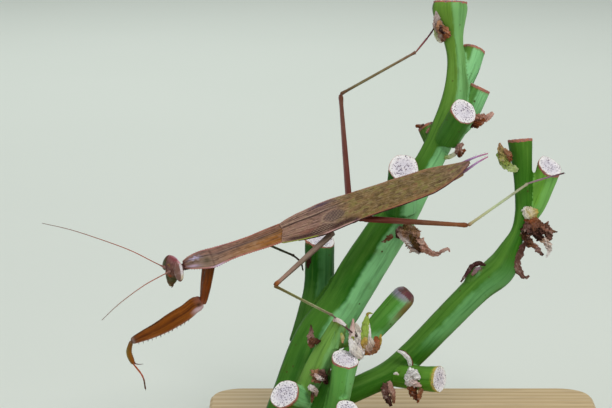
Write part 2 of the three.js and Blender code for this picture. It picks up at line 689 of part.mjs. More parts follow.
const perch = new THREE.Group();
const stems = Object.entries(STEMS).map(([name, points]) => [name, stem(points)]);
const ground = (grow = 0) => solidFrom(new THREE.BoxGeometry(200, 200, 40)
  .translate(0, 0, BUTT_HEIGHT - 20 + grow));
const feet = Object.keys(LEGS).filter((leg) => !leg.startsWith("front"));
const gripping = feet.flatMap((leg) => [`tarsus_${leg}`, `tibia_${leg}`])
  .map((name) => (grow) => parts[name](grow).transform(mantis.matrix.elements));

stems.forEach(([name, maker], index) => {
  const earlier = stems.slice(0, index).map(([, other]) => other);
  const level = maker().subtract(ground());
  const spaced = earlier.reduce((rest, other) => rest.subtract(other(STEM_GAP)), level);
  const grooved = gripping.reduce((rest, toe) => rest.subtract(toe(BODY_GAP)), spaced);
  addMesh(perch, name, mainBody(grooved), COLOURS.stem, 0.5);
});

const stand = new THREE.Group();
addMesh(stand, "stand_base", standBase(), COLOURS.base, 0.5);
addMesh(stand, "stand_rod", standRod(), COLOURS.rod, 0.3, 1);

const model = new THREE.Group();
model.add(mantis, perch, stand);

export default model;
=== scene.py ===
import math

import bpy
import numpy as np
from mathutils import Matrix, Vector


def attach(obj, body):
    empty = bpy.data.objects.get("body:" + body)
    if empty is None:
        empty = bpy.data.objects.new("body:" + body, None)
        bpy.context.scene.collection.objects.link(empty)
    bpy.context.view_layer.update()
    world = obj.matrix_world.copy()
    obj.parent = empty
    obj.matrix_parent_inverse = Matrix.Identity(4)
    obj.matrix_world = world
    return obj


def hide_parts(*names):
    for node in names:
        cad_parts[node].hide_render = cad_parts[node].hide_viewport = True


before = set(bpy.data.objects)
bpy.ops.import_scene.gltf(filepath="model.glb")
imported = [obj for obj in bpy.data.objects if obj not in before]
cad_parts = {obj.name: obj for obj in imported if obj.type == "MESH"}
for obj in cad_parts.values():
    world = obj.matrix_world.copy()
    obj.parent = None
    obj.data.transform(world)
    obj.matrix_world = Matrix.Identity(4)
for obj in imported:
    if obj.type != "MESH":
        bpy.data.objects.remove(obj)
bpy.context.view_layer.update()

MM = 0.001
NODES = list(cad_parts)

# ---------- numbers shared with the frame, in millimetres ----------
WING_ROOT = np.array([-31.8, -15.5, 61.4])
HEADING = {"roll": -50.27, "pitch": 19.35, "yaw": -175.72}
HEAD = {"centre": [28.75, 1.12, 3.98], "roll": 23, "pitch": -31, "yaw": 15, "scale": 0.97}
BASE_TOP = 6.0
BUTT_HEIGHT = 12.0
ROD_PLACE = (-27.5, -9.0)

LEGS = {
    "front_left": {
        "coxa": [[19.5, 2.0, 1.0], [25, 6.2, -9.9]],
        "femur": [[25, 6.2, -9.9], [45.2, 9.6, -9.4]],
        "tibia": [[45.2, 9.6, -9.4], [46.9, 10.7, -12.8], [47.1, 12.4, -16.4]],
        "tarsus": [[47.1, 12.4, -16.4], [46.1, 15.1, -19.8], [46.6, 17.35, -22.55]]},
    "front_right": {
        "coxa": [[19.5, -0.6, 1.0], [25.3, 3.83, -14.85]],
        "femur": [[25.3, 3.83, -14.85], [45.68, 7.26, -14.35]],
        "tibia": [[45.68, 7.26, -14.35], [47.39, 8.38, -17.76], [47.59, 10.1, -21.37]],
        "tarsus": [[47.59, 10.1, -21.37], [46.58, 12.83, -24.79], [47.12, 15.1, -27.55]]},
    "middle_left": {
        "coxa": [[-9.8, 1.3, -3.4], [-12, 2.6, -4.2]],
        "femur": [[-12, 2.6, -4.2], [6.4, 11.8, -2.6]],
        "tibia": [[6.4, 11.8, -2.6], [-4.7, 19.5, -14.4]],
        "tarsus": [[-4.7, 19.5, -14.4], [-7, 23.5, -16], [-9.3, 25.8, -19.9]]},
    "middle_right": {
        "coxa": [[-9.8, -1.3, -3.4], [-13, -2.6, -4.2]],
        "femur": [[-13, -2.6, -4.2], [5.8, -1.4, -3.8]],
        "tibia": [[5.8, -1.4, -3.8], [-0.4, -3.1, -20.9]],
        "tarsus": [[-0.4, -3.1, -20.9], [-1.5, -2, -23.7], [-1.3, -1, -26.4]]},
    "hind_left": {
        "coxa": [[-15.4, 1.2, -3.2], [-18.9, 1.7, -3.3]],
        "femur": [[-18.9, 1.7, -3.3], [-44.2, 12.9, -5.4]],
        "tibia": [[-44.2, 12.9, -5.4], [-63.4, 0.4, -20.4]],
        "tarsus": [[-63.4, 0.4, -20.4], [-68.1, 0.3, -21.1], [-73.3, -0.1, -22.9]]},
    "hind_right": {
        "coxa": [[-15.4, -1.2, -3.2], [-18.1, -2.8, -3.7]],
        "femur": [[-18.1, -2.8, -3.7], [-25.5, -27.6, 7.3]],
        "tibia": [[-25.5, -27.6, 7.3], [-47.9, -37.7, -3.3]],
        "tarsus": [[-47.9, -37.7, -3.3], [-52.9, -41, -3], [-55.4, -42.8, -2.2],
                   [-57.4, -43.6, -0.4]]},
}

# each stem's middle and radius, point by point
STEMS = {
    "stem": [[-30.8, -8.5, 11, 6.2], [-24, -3.5, 28.9, 6], [-17, 0.1, 38.7, 5.7],
             [-11.3, 2.1, 48.1, 5.7], [-3.3, 4.7, 60.2, 5.2], [2.2, 6.6, 69, 4.3],
             [6.3, 8, 75.9, 3.6], [10.2, 10.2, 83.9, 3.7], [12.6, 12.4, 91.6, 3.3],
             [12.9, 15.2, 99.8, 2.4], [12.1, 16.5, 105.9, 2.7], [11.3, 17.9, 112.5, 4.6],
             [11.3, 18.4, 115, 4.4]],
    "branch": [[-22, -10.5, 13, 3.3], [-17.8, -9.7, 16.7, 3.3], [-10.1, -8, 19.9, 3.2],
               [-3.9, -6.4, 22.6, 3.4], [2.1, -4.3, 27.4, 3.5], [9.9, -1.7, 34.9, 3.6],
               [18.4, 1.1, 42.9, 3.8], [24.2, 3, 47.5, 4.2], [26.8, 4, 52.5, 2.9],
               [28.8, 5.1, 56.6, 2], [30, 6.4, 60.2, 2.1], [30.5, 8, 64, 2.3],
               [30.3, 10.1, 71, 2.5], [29.6, 12, 79.9, 3.3]],
    "stub_inner": [[-27, 0.9, 27.8, 3.6], [-24.4, 3.5, 35.2, 3.9], [-22.6, 6.1, 42.6, 3.9],
                   [-22.4, 7.5, 54, 3.9]],
    "stub_low": [[-20.5, -9.5, 13, 3.1], [-18.6, -15.6, 15.4, 3], [-17.2, -18.6, 22.7, 3],
                 [-16.2, -19.2, 29.6, 3.5]],
    "stub_front": [[-27, -11.5, 14, 3.3], [-26, -12.4, 18.3, 3.3], [-22.4, -13.5, 27.3, 3.2],
                   [-17.2, -13.8, 37.9, 2.2]],
    "scar": [[-20.6, -12.8, 32, 2.2], [-13.6, -12.6, 33.2, 1.6]],
    "stub_base": [[-26.5, -11.8, 16.2, 3.3], [-31.4, -18.1, 20.2, 3.9]],
    "stub_end": [[-2.9, -6.5, 22.1, 3.3], [3.1, -10.5, 22.2, 3.2], [7.8, -13.5, 22.8, 3.4]],
    "stub_side": [[-17, -4.6, 23.6, 2.6], [-9, -3.2, 32.4, 2.8], [-4.4, -3.1, 37.7, 3.1],
                  [-1.2, -3, 41.3, 3.1], [-0.3, -3, 42.3, 2.8], [0.5, -3, 43.1, 1.9]],
    "stub_middle": [[-1.8, 2.2, 62.9, 4], [-1.1, -0.4, 74.8, 3.9]],
    "stub_left": [[8, 11.5, 77.8, 2.6], [5.5, 14.6, 82.8, 2.5]],
    "stub_upper": [[10.3, 7, 80.8, 3.2], [14.1, 1.6, 89.1, 3.5]],
    "stub_top": [[12.6, 14, 92.1, 2.6], [15.3, 16.4, 96.2, 3.2], [17.8, 19.8, 102.3, 3.1]],
    "stub_right": [[31.6, 7.7, 60.1, 2.2], [34, 9, 63.8, 2.6], [37.2, 10.5, 73, 3.3]],
    "stub_back": [[10.5, 10.5, 80.5, 2.4], [15.2, 12.3, 85.2, 2.8], [19.2, 13.6, 93.2, 2.8]],
    "crotch": [[-23.5, -12, 12, 4], [-20.6, -13.2, 20, 3.2], [-19.6, -13.6, 24.5, 2.2]],
    "knob": [[16.4, 0.5, 41, 2.4], [17.4, 0.9, 45.4, 2.3], [18.4, 0.7, 48.3, 1.3]],
    "stub_foot": [[-19, -13, 13.5, 2.8], [-17, -20.2, 13.4, 3], [-15.6, -23.4, 17.6, 3.1]],
}

# ---------- small maths ----------


def euler_zyx(roll, pitch, yaw):
    turns = [Matrix.Rotation(math.radians(a), 3, k) for a, k in ((yaw, "Z"), (pitch, "Y"), (roll, "X"))]
    return np.array(turns[0] @ turns[1] @ turns[2])


BODY_TURN = euler_zyx(**HEADING)
HEAD_TURN = euler_zyx(HEAD["roll"], HEAD["pitch"], HEAD["yaw"]) * HEAD["scale"]


def row_place(points):
    """Row frame, millimetres to metres."""
    return np.asarray(points, float) * MM


def insect_place(points):
    """The insect's frame, millimetres, to the row frame, metres."""
    return (np.asarray(points, float) @ BODY_TURN.T + WING_ROOT) * MM


def head_place(points):
    """The head's own frame to the row frame."""
    return insect_place(np.asarray(points, float) @ HEAD_TURN.T + HEAD["centre"])


def unit(v):
    v = np.asarray(v, float)
    return v / np.maximum(np.linalg.norm(v, axis=-1, keepdims=True), 1e-12)


def mix(a, b, share):
    return a + (b - a) * share


def step(low, high, x):
    """Smooth step from 0 at low to 1 at high."""
    t = np.clip((np.asarray(x, float) - low) / (high - low), 0, 1)
    return t * t * (3 - 2 * t)


def hump(x, middle, width):
    return np.exp(-(((np.asarray(x, float) - middle) / width) ** 2))


def curve_through(pairs, x, smooth=0.0):
    """The value at x on the line through [x, value] pairs, its corners eased over `smooth`."""
    xs, vs = np.array(pairs, float).T
    if not smooth:
        return np.interp(x, xs, vs)
    offsets = np.linspace(-1, 1, 9)
    weights = np.exp(-2 * offsets ** 2)
    x = np.asarray(x, float)
    total = sum(w * np.interp(x + o * smooth, xs, vs) for w, o in zip(weights, offsets))
    return total / weights.sum()


def lengths_along(path):
    """How far along a path each of its points is."""
    return np.r_[0, np.cumsum(np.linalg.norm(np.diff(path, axis=0), axis=1))]


def spline(points, count):
    """`count` evenly spaced points on a smooth curve through the given ones."""
    p = np.asarray(points, float)
    if len(p) == 2:
        return p[0] + (p[1] - p[0]) * np.linspace(0, 1, count)[:, None]
    p = np.vstack([2 * p[0] - p[1], p, 2 * p[-1] - p[-2]])
    t = np.linspace(0, 1, 24, endpoint=False)[:, None]
    runs = []
    for a, b, c, d in zip(p, p[1:], p[2:], p[3:]):
        runs.append(0.5 * (2 * b + (c - a) * t + (2 * a - 5 * b + 4 * c - d) * t ** 2
                           + (3 * b - a - 3 * c + d) * t ** 3))
    dense = np.vstack(runs + [p[-2][None]])
    reach = lengths_along(dense[:, :3])
    at = np.linspace(0, reach[-1], count)
    return np.stack([np.interp(at, reach, column) for column in dense.T], 1)


def smooth_run(points, count):
    """A smooth path of `count` points, and the share of its length at each."""
    return spline(points, count), np.linspace(0, 1, count)


def frames_along(path, broad):
    """Unit tangent, width direction and thickness direction at each point of a path."""
    along = unit(np.gradient(path, axis=0))
    wide = np.broadcast_to(np.asarray(broad, float), along.shape)
    wide = unit(wide - (wide * along).sum(1, keepdims=True) * along)
    return along, wide, np.cross(along, wide)


def carried_frames(path, first=(1, 0, 0)):
    """The same, with the width direction carried along the path without twist."""
    along = unit(np.gradient(path, axis=0))
    wide = np.zeros_like(along)
    side = np.array(first, float)
    for i, a in enumerate(along):
        side = unit(side - side.dot(a) * a)
        wide[i] = side
    return along, wide, np.cross(along, wide)


def linear(tone):
    """The linear colour of a tone, a tuple of sRGB numbers 0-255. A linear colour stays as it is."""
    if not isinstance(tone, tuple):
        return tone
    c = np.array(tone, float) / 255
    return np.where(c <= 0.04045, c / 12.92, ((c + 0.055) / 1.055) ** 2.4)


def plain(points, tone):
    """The same colour for every point."""
    return np.broadcast_to(linear(tone), points.shape)


def blend(base, colour, mask):
    """Lays a tone or colour over base colours (N, 3) by a mask (N,)."""
    mask = np.clip(np.asarray(mask, float), 0, 1)[..., None]
    return base * (1 - mask) + linear(colour) * mask


def stops(x, pairs):
    """Colours (N, 3) along x from [x, tone] pairs."""
    xs = [at for at, _ in pairs]
    colours = np.array([linear(tone) for _, tone in pairs])
    return np.stack([np.interp(x, xs, channel) for channel in colours.T], -1)


def wobble(x, seed, waves=5, lowest=1.0):
    """A smooth, repeatable wave of about unit height."""
    r = np.random.default_rng(seed)
    total = 0
    for k in range(waves):
        total = total + np.sin(np.asarray(x, float) * lowest * (1.7 ** k) + r.uniform(0, 6.3)) / (1.3 ** k)
    return total / 2.2


def tone(*pairs, ridge=None, ridge_at=0.0, amount=0.6):
    """A paint that runs along a limb, with a darker or paler ridge at one angle."""
    def paint(p, where):
        colour = stops(where[:, 0], pairs)
        if ridge is not None:
            colour = blend(colour, ridge, amount * step(0.55, 0.95, np.cos(where[:, 1] - ridge_at)))
        return colour
    return paint


# ---------- meshes ----------
# how a rounded end narrows: share of the last step, and share of the half width
ROUND_END = ((0.0, 0.35), (0.25, 0.75), (0.6, 0.95))


def paint_points(mesh, colours, lies):
    """Gives each point its colour and its lie, and makes the faces look smooth."""
    tones = np.ones((len(mesh.vertices), 4))
    tones[:, :3] = np.clip(colours, 0, 1)
    mesh.color_attributes.new("paint", "FLOAT_COLOR", "POINT").data.foreach_set("color", tones.ravel())
    mesh.attributes.new("lie", "FLOAT_VECTOR", "POINT").data.foreach_set("vector", np.ravel(lies))
    mesh.polygons.foreach_set("use_smooth", [True] * len(mesh.polygons))


def dress(mesh, name, material, stands_for=()):
    """Shows a mesh as a piece that rides on the root body."""
    piece = bpy.data.objects.new(name, mesh)
    bpy.context.scene.collection.objects.link(piece)
    mesh.materials.append(material)
    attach(piece, "root")
    if stands_for:
        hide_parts(*stands_for)


class Shape:
    """Collects grids, tubes, balls and cones as one mesh. Each point has a colour, and a `lie`,
    where it is along and round its limb, for the material. A paint is a tone, or a function
    that gives colours for (points, where)."""

    def __init__(self, place=insect_place):
        self.place = place
        self.points, self.faces, self.paints, self.lies = [], [], [], []
        self.count = 0

    def add(self, points, faces, paint, lie, where):
        colour = paint(points, where) if callable(paint) else linear(paint)
        self.points.append(self.place(points))
        self.paints.append(np.broadcast_to(colour, points.shape))
        self.lies.append(lie)
        self.faces.extend([tuple(i + self.count for i in face) for face in faces])
        self.count += len(points)

    def grid(self, rows, paint, lie=None, where=None):
        """Closed rings (n, m, 3) joined in turn, with a fan over each end. Unless they are given,
        `where` is (share of length, angle, length) and `lie` (length, cosine, sine of the angle)."""
        rows = np.asarray(rows, float)
        n, m = rows.shape[:2]
        reach = lengths_along(rows.mean(1))[:, None]
        turn = np.linspace(0, 2 * np.pi, m, endpoint=False)[None]
        if where is None:
            where = np.stack(np.broadcast_arrays(reach / max(reach[-1, 0], 1e-9), turn, reach), -1)
        if lie is None:
            lie = np.stack(np.broadcast_arrays(reach, np.cos(turn), np.sin(turn)), -1)
        faces = []
        for i in range(n - 1):
            for j in range(m):
                k = (j + 1) % m
                faces.append((i * m + j, i * m + k, (i + 1) * m + k, (i + 1) * m + j))
        points, lies, wheres = (values.reshape(-1, 3) for values in (rows, lie, where))
        for row, turned in ((0, True), (n - 1, False)):
            middle = len(points)
            for j in range(m):
                a, b = row * m + j, row * m + (j + 1) % m
                faces.append((b, a, middle) if turned else (a, b, middle))
            points = np.vstack([points, rows[row].mean(0)])
            lies = np.vstack([lies, lie[row].mean(0)])
            wheres = np.vstack([wheres, where[row].mean(0)])
        self.add(points, faces, paint, lies, wheres)

    def tube(self, path, half, paint, flat=1.0, broad=None, sides=24, relief=None, round_ends=True):
        """A tube along (n, 3) points. `half` is each point's half width, and `relief` a
        function of (share of length, angle) that swells or sinks the surface."""
        path = np.asarray(path, float)
        half = np.broadcast_to(np.asarray(half, float), (len(path),))
        if round_ends:
            for end, way in ((0, 1), (-1, -1)):
                inner = path[end + way] - path[end]
                tip = [path[end] + inner * s for s, _ in ROUND_END]
                size = [half[end] * s for _, s in ROUND_END]
                if way == 1:
                    path, half = np.vstack([tip, path[1:]]), np.r_[size, half[1:]]
                else:
                    path, half = np.vstack([path[:-1], tip[::-1]]), np.r_[half[:-1], size[::-1]]
        _, wide, thin = carried_frames(path) if broad is None else frames_along(path, broad)
        turn = np.linspace(0, 2 * np.pi, sides, endpoint=False)
        reach = lengths_along(path)
        share = reach / max(reach[-1], 1e-9)
        radius = half[:, None] * (1.0 if relief is None else relief(share[:, None], turn[None, :]))
        rows = (path[:, None] + wide[:, None] * (radius * np.cos(turn))[..., None]
                + thin[:, None] * (radius * flat * np.sin(turn))[..., None])
        self.grid(rows, paint)

    def ball(self, centre, axes, paint, turn=None, rows=10, sides=16):
        """An ellipsoid with its poles on its third axis."""
        lat = np.linspace(0, np.pi, rows + 1)[1:-1]
        lon = np.linspace(0, 2 * np.pi, sides, endpoint=False)
        rings = np.stack([np.sin(lat)[:, None] * np.cos(lon), np.sin(lat)[:, None] * np.sin(lon),
                          np.cos(lat)[:, None] * np.ones_like(lon)], -1)
        lies = np.vstack([rings.reshape(-1, 3), [[0, 0, 1], [0, 0, -1]]])
        points = lies * np.asarray(axes, float)
        faces = []
        n, m = len(lat), sides
        for i in range(n - 1):
            for j in range(m):
                k = (j + 1) % m
                faces.append((i * m + j, (i + 1) * m + j, (i + 1) * m + k, i * m + k))
        for j in range(m):
            k = (j + 1) % m
            faces.append((n * m, j, k))
            faces.append((n * m + 1, (n - 1) * m + k, (n - 1) * m + j))
        if turn is not None:
            points = points @ turn.T
        self.add(points + np.asarray(centre, float), faces, paint, lies, lies)

    def cone(self, root, tip, radius, paint, bend=0.0, side=(0, 0, 1), sides=8):
        """A spine, bent to one side by a share of its length."""
        root, tip = np.asarray(root, float), np.asarray(tip, float)
        t = np.linspace(0, 1, 7)
        length = np.linalg.norm(tip - root)
        path = root + (tip - root) * t[:, None] + unit(side) * (bend * length * t * (1 - t) * 2)[:, None]
        self.tube(path, radius * (1 - 0.9 * t ** 1.3), paint, sides=sides, round_ends=False)

    def make(self, name, material, stands_for=()):
        mesh = bpy.data.meshes.new(name)
        mesh.from_pydata(np.vstack(self.points).tolist(), [], self.faces)
        paint_points(mesh, np.vstack(self.paints), np.vstack(self.lies))
        mesh.update()
        dress(mesh, name, material, stands_for)


# ---------- materials ----------
class Surface:
    """A principled material with short ways to add the nodes that vary it."""

    def __init__(self, name, roughness=0.5, **constants):
        self.material = bpy.data.materials.new(name)
        self.material.use_nodes = True
        self.tree = self.material.node_tree
        self.shader = next(n for n in self.tree.nodes if n.type == "BSDF_PRINCIPLED")
        self.shader.inputs["Roughness"].default_value = roughness
        self.shader.inputs["Specular IOR Level"].default_value = 0.1
        for key, value in constants.items():
            self.shader.inputs[key.replace("_", " ")].default_value = value
        self.coords = self.add("ShaderNodeTexCoord").outputs["Object"]
        self.normal = None

    def add(self, kind, links=(), **settings):
        node = self.tree.nodes.new(kind)
        for key, value in settings.items():
            if hasattr(node, key):
                setattr(node, key, value)
            else:
                node.inputs[key.replace("_", " ")].default_value = value
        for socket, source in links:
            self.tree.links.new(source, node.inputs[socket])
        return node

    def attribute(self, name):
        node = self.add("ShaderNodeAttribute", attribute_name=name)
        return node.outputs["Color"] if name == "paint" else node.outputs["Vector"]

    def stretch(self, vector, scale):
        node = self.add("ShaderNodeMapping", [("Vector", vector)])
        node.inputs["Scale"].default_value = scale
        return node.outputs["Vector"]

    def noise(self, vector, scale, detail, rough=0.55):
        node = self.add("ShaderNodeTexNoise", [("Vector", vector)], Scale=scale, Detail=detail,
                        Roughness=rough)
        return node.outputs["Fac"]

    def cells(self, vector, scale, feature="F1"):
        node = self.add("ShaderNodeTexVoronoi", [("Vector", vector)], feature=feature, Scale=scale)
        return node.outputs["Distance"]

    def remap(self, value, low, high, to_low=0.0, to_high=1.0):
        node = self.add("ShaderNodeMapRange", [("Value", value)])
        for key, number in zip(("From Min", "From Max", "To Min", "To Max"), (low, high, to_low, to_high)):
            node.inputs[key].default_value = number
        return node.outputs["Result"]

    def sums(self, operation, a, b=0.0):
        node = self.add("ShaderNodeMath", operation=operation)
        for index, value in enumerate((a, b)):
            if isinstance(value, (int, float)):
                node.inputs[index].default_value = value
            else:
                self.tree.links.new(value, node.inputs[index])
        return node.outputs[0]

    def mixed(self, share, a, b):
        """From a to b, tones or sockets, by a share that is a socket."""
        node = self.add("ShaderNodeMix", data_type="RGBA")
        factor, first, second, result = node.inputs[0], node.inputs[6], node.inputs[7], node.outputs[2]
        for socket, value in ((factor, share), (first, a), (second, b)):
            if isinstance(value, tuple):
                socket.default_value = (*[float(v) for v in linear(value)], 1)
            else:
                self.tree.links.new(value, socket)
        return result

    def colour(self, value):
        self.tree.links.new(value, self.shader.inputs["Base Color"])

    def roughness(self, value):
        self.tree.links.new(value, self.shader.inputs["Roughness"])

    def bump(self, height, depth, strength):
        """Relief of a height 0-1, `depth` metres deep."""
        node = self.add("ShaderNodeBump", [("Height", height)], Strength=strength, Distance=depth)
        if self.normal is not None:
            self.tree.links.new(self.normal, node.inputs["Normal"])
        self.normal = node.outputs["Normal"]
        self.tree.links.new(self.normal, self.shader.inputs["Normal"])


def shell(name, roughness, streak, streaks, mottle, mottle_mm, pits_mm=0.16, pit_depth=0.04,
          dark=(30, 18, 14), pale=(190, 160, 140), **constants):
    """Insect shell: painted colour with streaks along the limb, mottling and fine pits."""
    s = Surface(name, roughness, **constants)
    fine = s.noise(s.stretch(s.attribute("lie"), (*streak, 0.0)), 1.6, 4, 0.6)
    broad = s.noise(s.coords, 1 / (mottle_mm * 2.2 * MM), 4, 0.6)
    colour = s.attribute("paint")
    colour = s.mixed(s.remap(fine, 0.52, 0.72, 0, streaks), colour, dark)
    colour = s.mixed(s.remap(fine, 0.46, 0.28, 0, streaks * 0.6), colour, pale)
    colour = s.mixed(s.remap(broad, 0.54, 0.74, 0, mottle), colour, dark)
    colour = s.mixed(s.remap(broad, 0.44, 0.25, 0, mottle * 0.7), colour, pale)
    s.colour(colour)
    s.roughness(s.remap(broad, 0.3, 0.7, roughness - 0.1, roughness + 0.14))
    s.bump(fine, 0.1 * MM, 0.7)
    s.bump(s.cells(s.coords, 1 / (pits_mm * MM)), pit_depth * MM, 0.6)
    return s.material


MATERIALS = {
    "head": shell("head_shell", 0.38, (0.6, 2.0), 0.22, 0.22, 0.7, pits_mm=0.14),
    "pronotum": shell("pronotum_shell", 0.4, (0.16, 3.2), 0.34, 0.26, 1.0, pits_mm=0.2, pit_depth=0.07),
    "leg": shell("leg_shell", 0.36, (0.14, 2.2), 0.36, 0.2, 0.9, pits_mm=0.14, pit_depth=0.024),
    "foreleg": shell("foreleg_shell", 0.33, (0.1, 3.6), 0.5, 0.18, 1.2, pits_mm=0.16, dark=(52, 18, 4),
                     pale=(206, 130, 66)),
    "shin": shell("shin_shell", 0.38, (0.12, 2.4), 0.3, 0.2, 0.8, pits_mm=0.12, pit_depth=0.02,
                  pale=(206, 214, 176)),
    "abdomen": shell("abdomen_shell", 0.42, (0.5, 2.4), 0.26, 0.35, 0.9, pits_mm=0.18),
    "cercus": shell("cercus_shell", 0.4, (0.5, 1.5), 0.2, 0.2, 0.6, pits_mm=0.1, pit_depth=0.02,
                    pale=(210, 180, 220)),
    "antenna": shell("feeler_shell", 0.45, (0.5, 1.5), 0.18, 0.12, 0.6, pits_mm=0.08, pit_depth=0.012),
}


# ---------- camera, lights and floor ----------
def look(name, data, at, target):
    thing = bpy.data.objects.new(name, data)
    thing.location = Vector(at)
    thing.rotation_euler = (Vector(target) - Vector(at)).to_track_quat("-Z", "Y").to_euler()
    bpy.context.scene.collection.objects.link(thing)
    return thing


VIEW_TARGET = np.array([-26.0, -14.0, 68.4]) * MM
VIEW_DISTANCE = 0.600
VIEW_ELEVATION = math.radians(12)
SENSOR = 36.0
PIXEL = 0.25 * MM
PHOTO_WIDTH = 612

lens = bpy.data.cameras.new("camera")
lens.sensor_width = SENSOR
lens.sensor_fit = "HORIZONTAL"
lens.lens = SENSOR * VIEW_DISTANCE / (PIXEL * PHOTO_WIDTH)
lens.clip_start = 0.02
lens.clip_end = 60
camera_at = VIEW_TARGET + VIEW_DISTANCE * np.array([0, -math.cos(VIEW_ELEVATION), math.sin(VIEW_ELEVATION)])
bpy.context.scene.camera = look("camera", lens, camera_at, VIEW_TARGET)


LIT_POINT = (-0.02, -0.01, 0.06)


def softbox(name, at, size, power, tint):
    light = bpy.data.lights.new(name, "AREA")
    light.shape = "DISK"
    light.size = size
    light.energy = power
    light.color = tint
    look(name, light, at, LIT_POINT)


softbox("key", (0.35, -0.55, 0.85), 0.55, 5.6, (1.0, 0.975, 0.94))
softbox("fill", (-0.8, -0.6, 0.5), 0.8, 2.0, (0.93, 0.97, 1.0))
softbox("back", (-0.1, 0.8, 0.7), 0.6, 3.2, (0.95, 1.0, 0.97))

world = bpy.data.worlds.new("studio")
world.use_nodes = True
world.node_tree.nodes["Background"].inputs["Color"].default_value = (0.86, 0.92, 0.9, 1)
world.node_tree.nodes["Background"].inputs["Strength"].default_value = 0.36
bpy.context.scene.world = world
bpy.context.scene.view_settings.view_transform = "Standard"

FLOOR_SIZE = 12.0
floor_mesh = bpy.data.meshes.new("floor")
half_floor = FLOOR_SIZE / 2
floor_mesh.from_pydata([(-half_floor, -half_floor, 0), (half_floor, -half_floor, 0),
                        (half_floor, half_floor, 0), (-half_floor, half_floor, 0)], [], [(0, 1, 2, 3)])
floor = bpy.data.objects.new("floor", floor_mesh)
bpy.context.scene.collection.objects.link(floor)
floor_surface = Surface("floor_paper", 0.75)
floor_tone = floor_surface.noise(floor_surface.coords, 3.0, 3)
floor_surface.colour(floor_surface.mixed(floor_tone, (226, 230, 224), (219, 224, 217)))
floor_mesh.materials.append(floor_surface.material)


# ---------- perch ----------
# the direction the stems' faces turn to catch the pale painted highlight
PAINTED_LIGHT_WAY = unit([0.8, -0.5, 0.33])
# the angle of one corner of a stem's five-sided section, in degrees
STEM_CORNERS = {"stem": 282, "branch": 250, "stub_inner": 250, "stub_low": 275, "stub_side": 255}
USUAL_CORNER = 262
STEM_TONES = {
    "stem": (30, 98, 4), "branch": (54, 108, 22), "stub_inner": (20, 82, 0), "stub_low": (98, 162, 74),
    "stub_front": (118, 162, 72), "scar": (108, 152, 66), "stub_base": (72, 128, 26),
    "stub_end": (80, 136, 34), "stub_side": (86, 150, 58), "stub_middle": (40, 96, 20),
    "stub_left": (70, 108, 36), "stub_upper": (66, 120, 38), "stub_right": (112, 168, 60),
    "stub_top": (84, 136, 62), "stub_back": (88, 146, 70), "stub_foot": (84, 146, 56),
    "crotch": (48, 106, 22), "knob": (66, 112, 40)}
SAMPLES_PER_MM = 2.0
LEAST_SAMPLES = 12
VOXEL = 0.42 * MM


def stem_axis(points):
    points = np.asarray(points, float)
    length = np.linalg.norm(np.diff(points[:, :3], axis=0), axis=1).sum()
    return spline(points, max(LEAST_SAMPLES, int(length * SAMPLES_PER_MM)))


def five_sided(name, angle):
    """How far a stem's rounded five-cornered section reaches at an angle, against its mean radius."""
    part = 2 * np.pi / 5
    corner = math.radians(STEM_CORNERS.get(name, USUAL_CORNER))
    from_corner = np.mod(angle - corner, part) - part / 2
    return 0.965 + 0.05 * (1 / np.cos(from_corner) - 1) / 0.236


def stem_skin():
    """The stems merged into one mesh, with eased joints."""
    shape = Shape(row_place)
    for number, (name, points) in enumerate(STEMS.items()):
        axis = stem_axis(points)

        def relief(share, angle, name=name, number=number):
            ribs = 0.012 * np.sin(angle * 11 + number) + 0.01 * wobble(share * 20, number)
            return five_sided(name, angle) * (1 + ribs)

        shape.tube(axis[:, :3], axis[:, 3], STEM_TONES[name], sides=60, relief=relief, round_ends=False)
    mesh = bpy.data.meshes.new("perch_draft")
    mesh.from_pydata(np.vstack(shape.points).tolist(), [], shape.faces)
    draft = bpy.data.objects.new("perch_draft", mesh)
    bpy.context.scene.collection.objects.link(draft)
    remesh = draft.modifiers.new("merge", "REMESH")
    remesh.mode = "VOXEL"
    remesh.voxel_size = VOXEL
    smooth = draft.modifiers.new("ease", "SMOOTH")
    smooth.factor = 0.5
    smooth.iterations = 3
    merged = bpy.data.meshes.new_from_object(draft.evaluated_get(bpy.context.evaluated_depsgraph_get()))
    bpy.data.objects.remove(draft)
    return merged


POINTS_AT_ONCE = 20000


def nearest_stem(points):
    """For each point in mm: its stem's number, how far along it is, its angle round it, and how
    far before the stem's end."""
    best = np.full(len(points), 1e9)
    along, angle, which, edge = (np.zeros(len(points)) for _ in range(4))
    for number, stem in enumerate(STEMS.values()):
        axis = stem_axis(stem)
        path, radius = axis[:, :3], axis[:, 3]
        _, wide, thin = carried_frames(path)
        reach = lengths_along(path)
        for start in range(0, len(points), POINTS_AT_ONCE):
            part = slice(start, start + POINTS_AT_ONCE)
            offset = points[part, None] - path[None]
            gap = np.linalg.norm(offset, axis=2) - radius[None]
            at = gap.argmin(1)
            rows = np.arange(len(at))
            near = gap[rows, at]
            better = near < best[part]
            arm = offset[rows, at]
            turn = np.arctan2((arm * thin[at]).sum(1), (arm * wide[at]).sum(1))
            for store, value in ((best, near), (along, reach[at]), (angle, turn), (which, number),
                                 (edge, reach[-1] - reach[at])):
                store[part] = np.where(better, value, store[part])
    return which, along, angle, edge


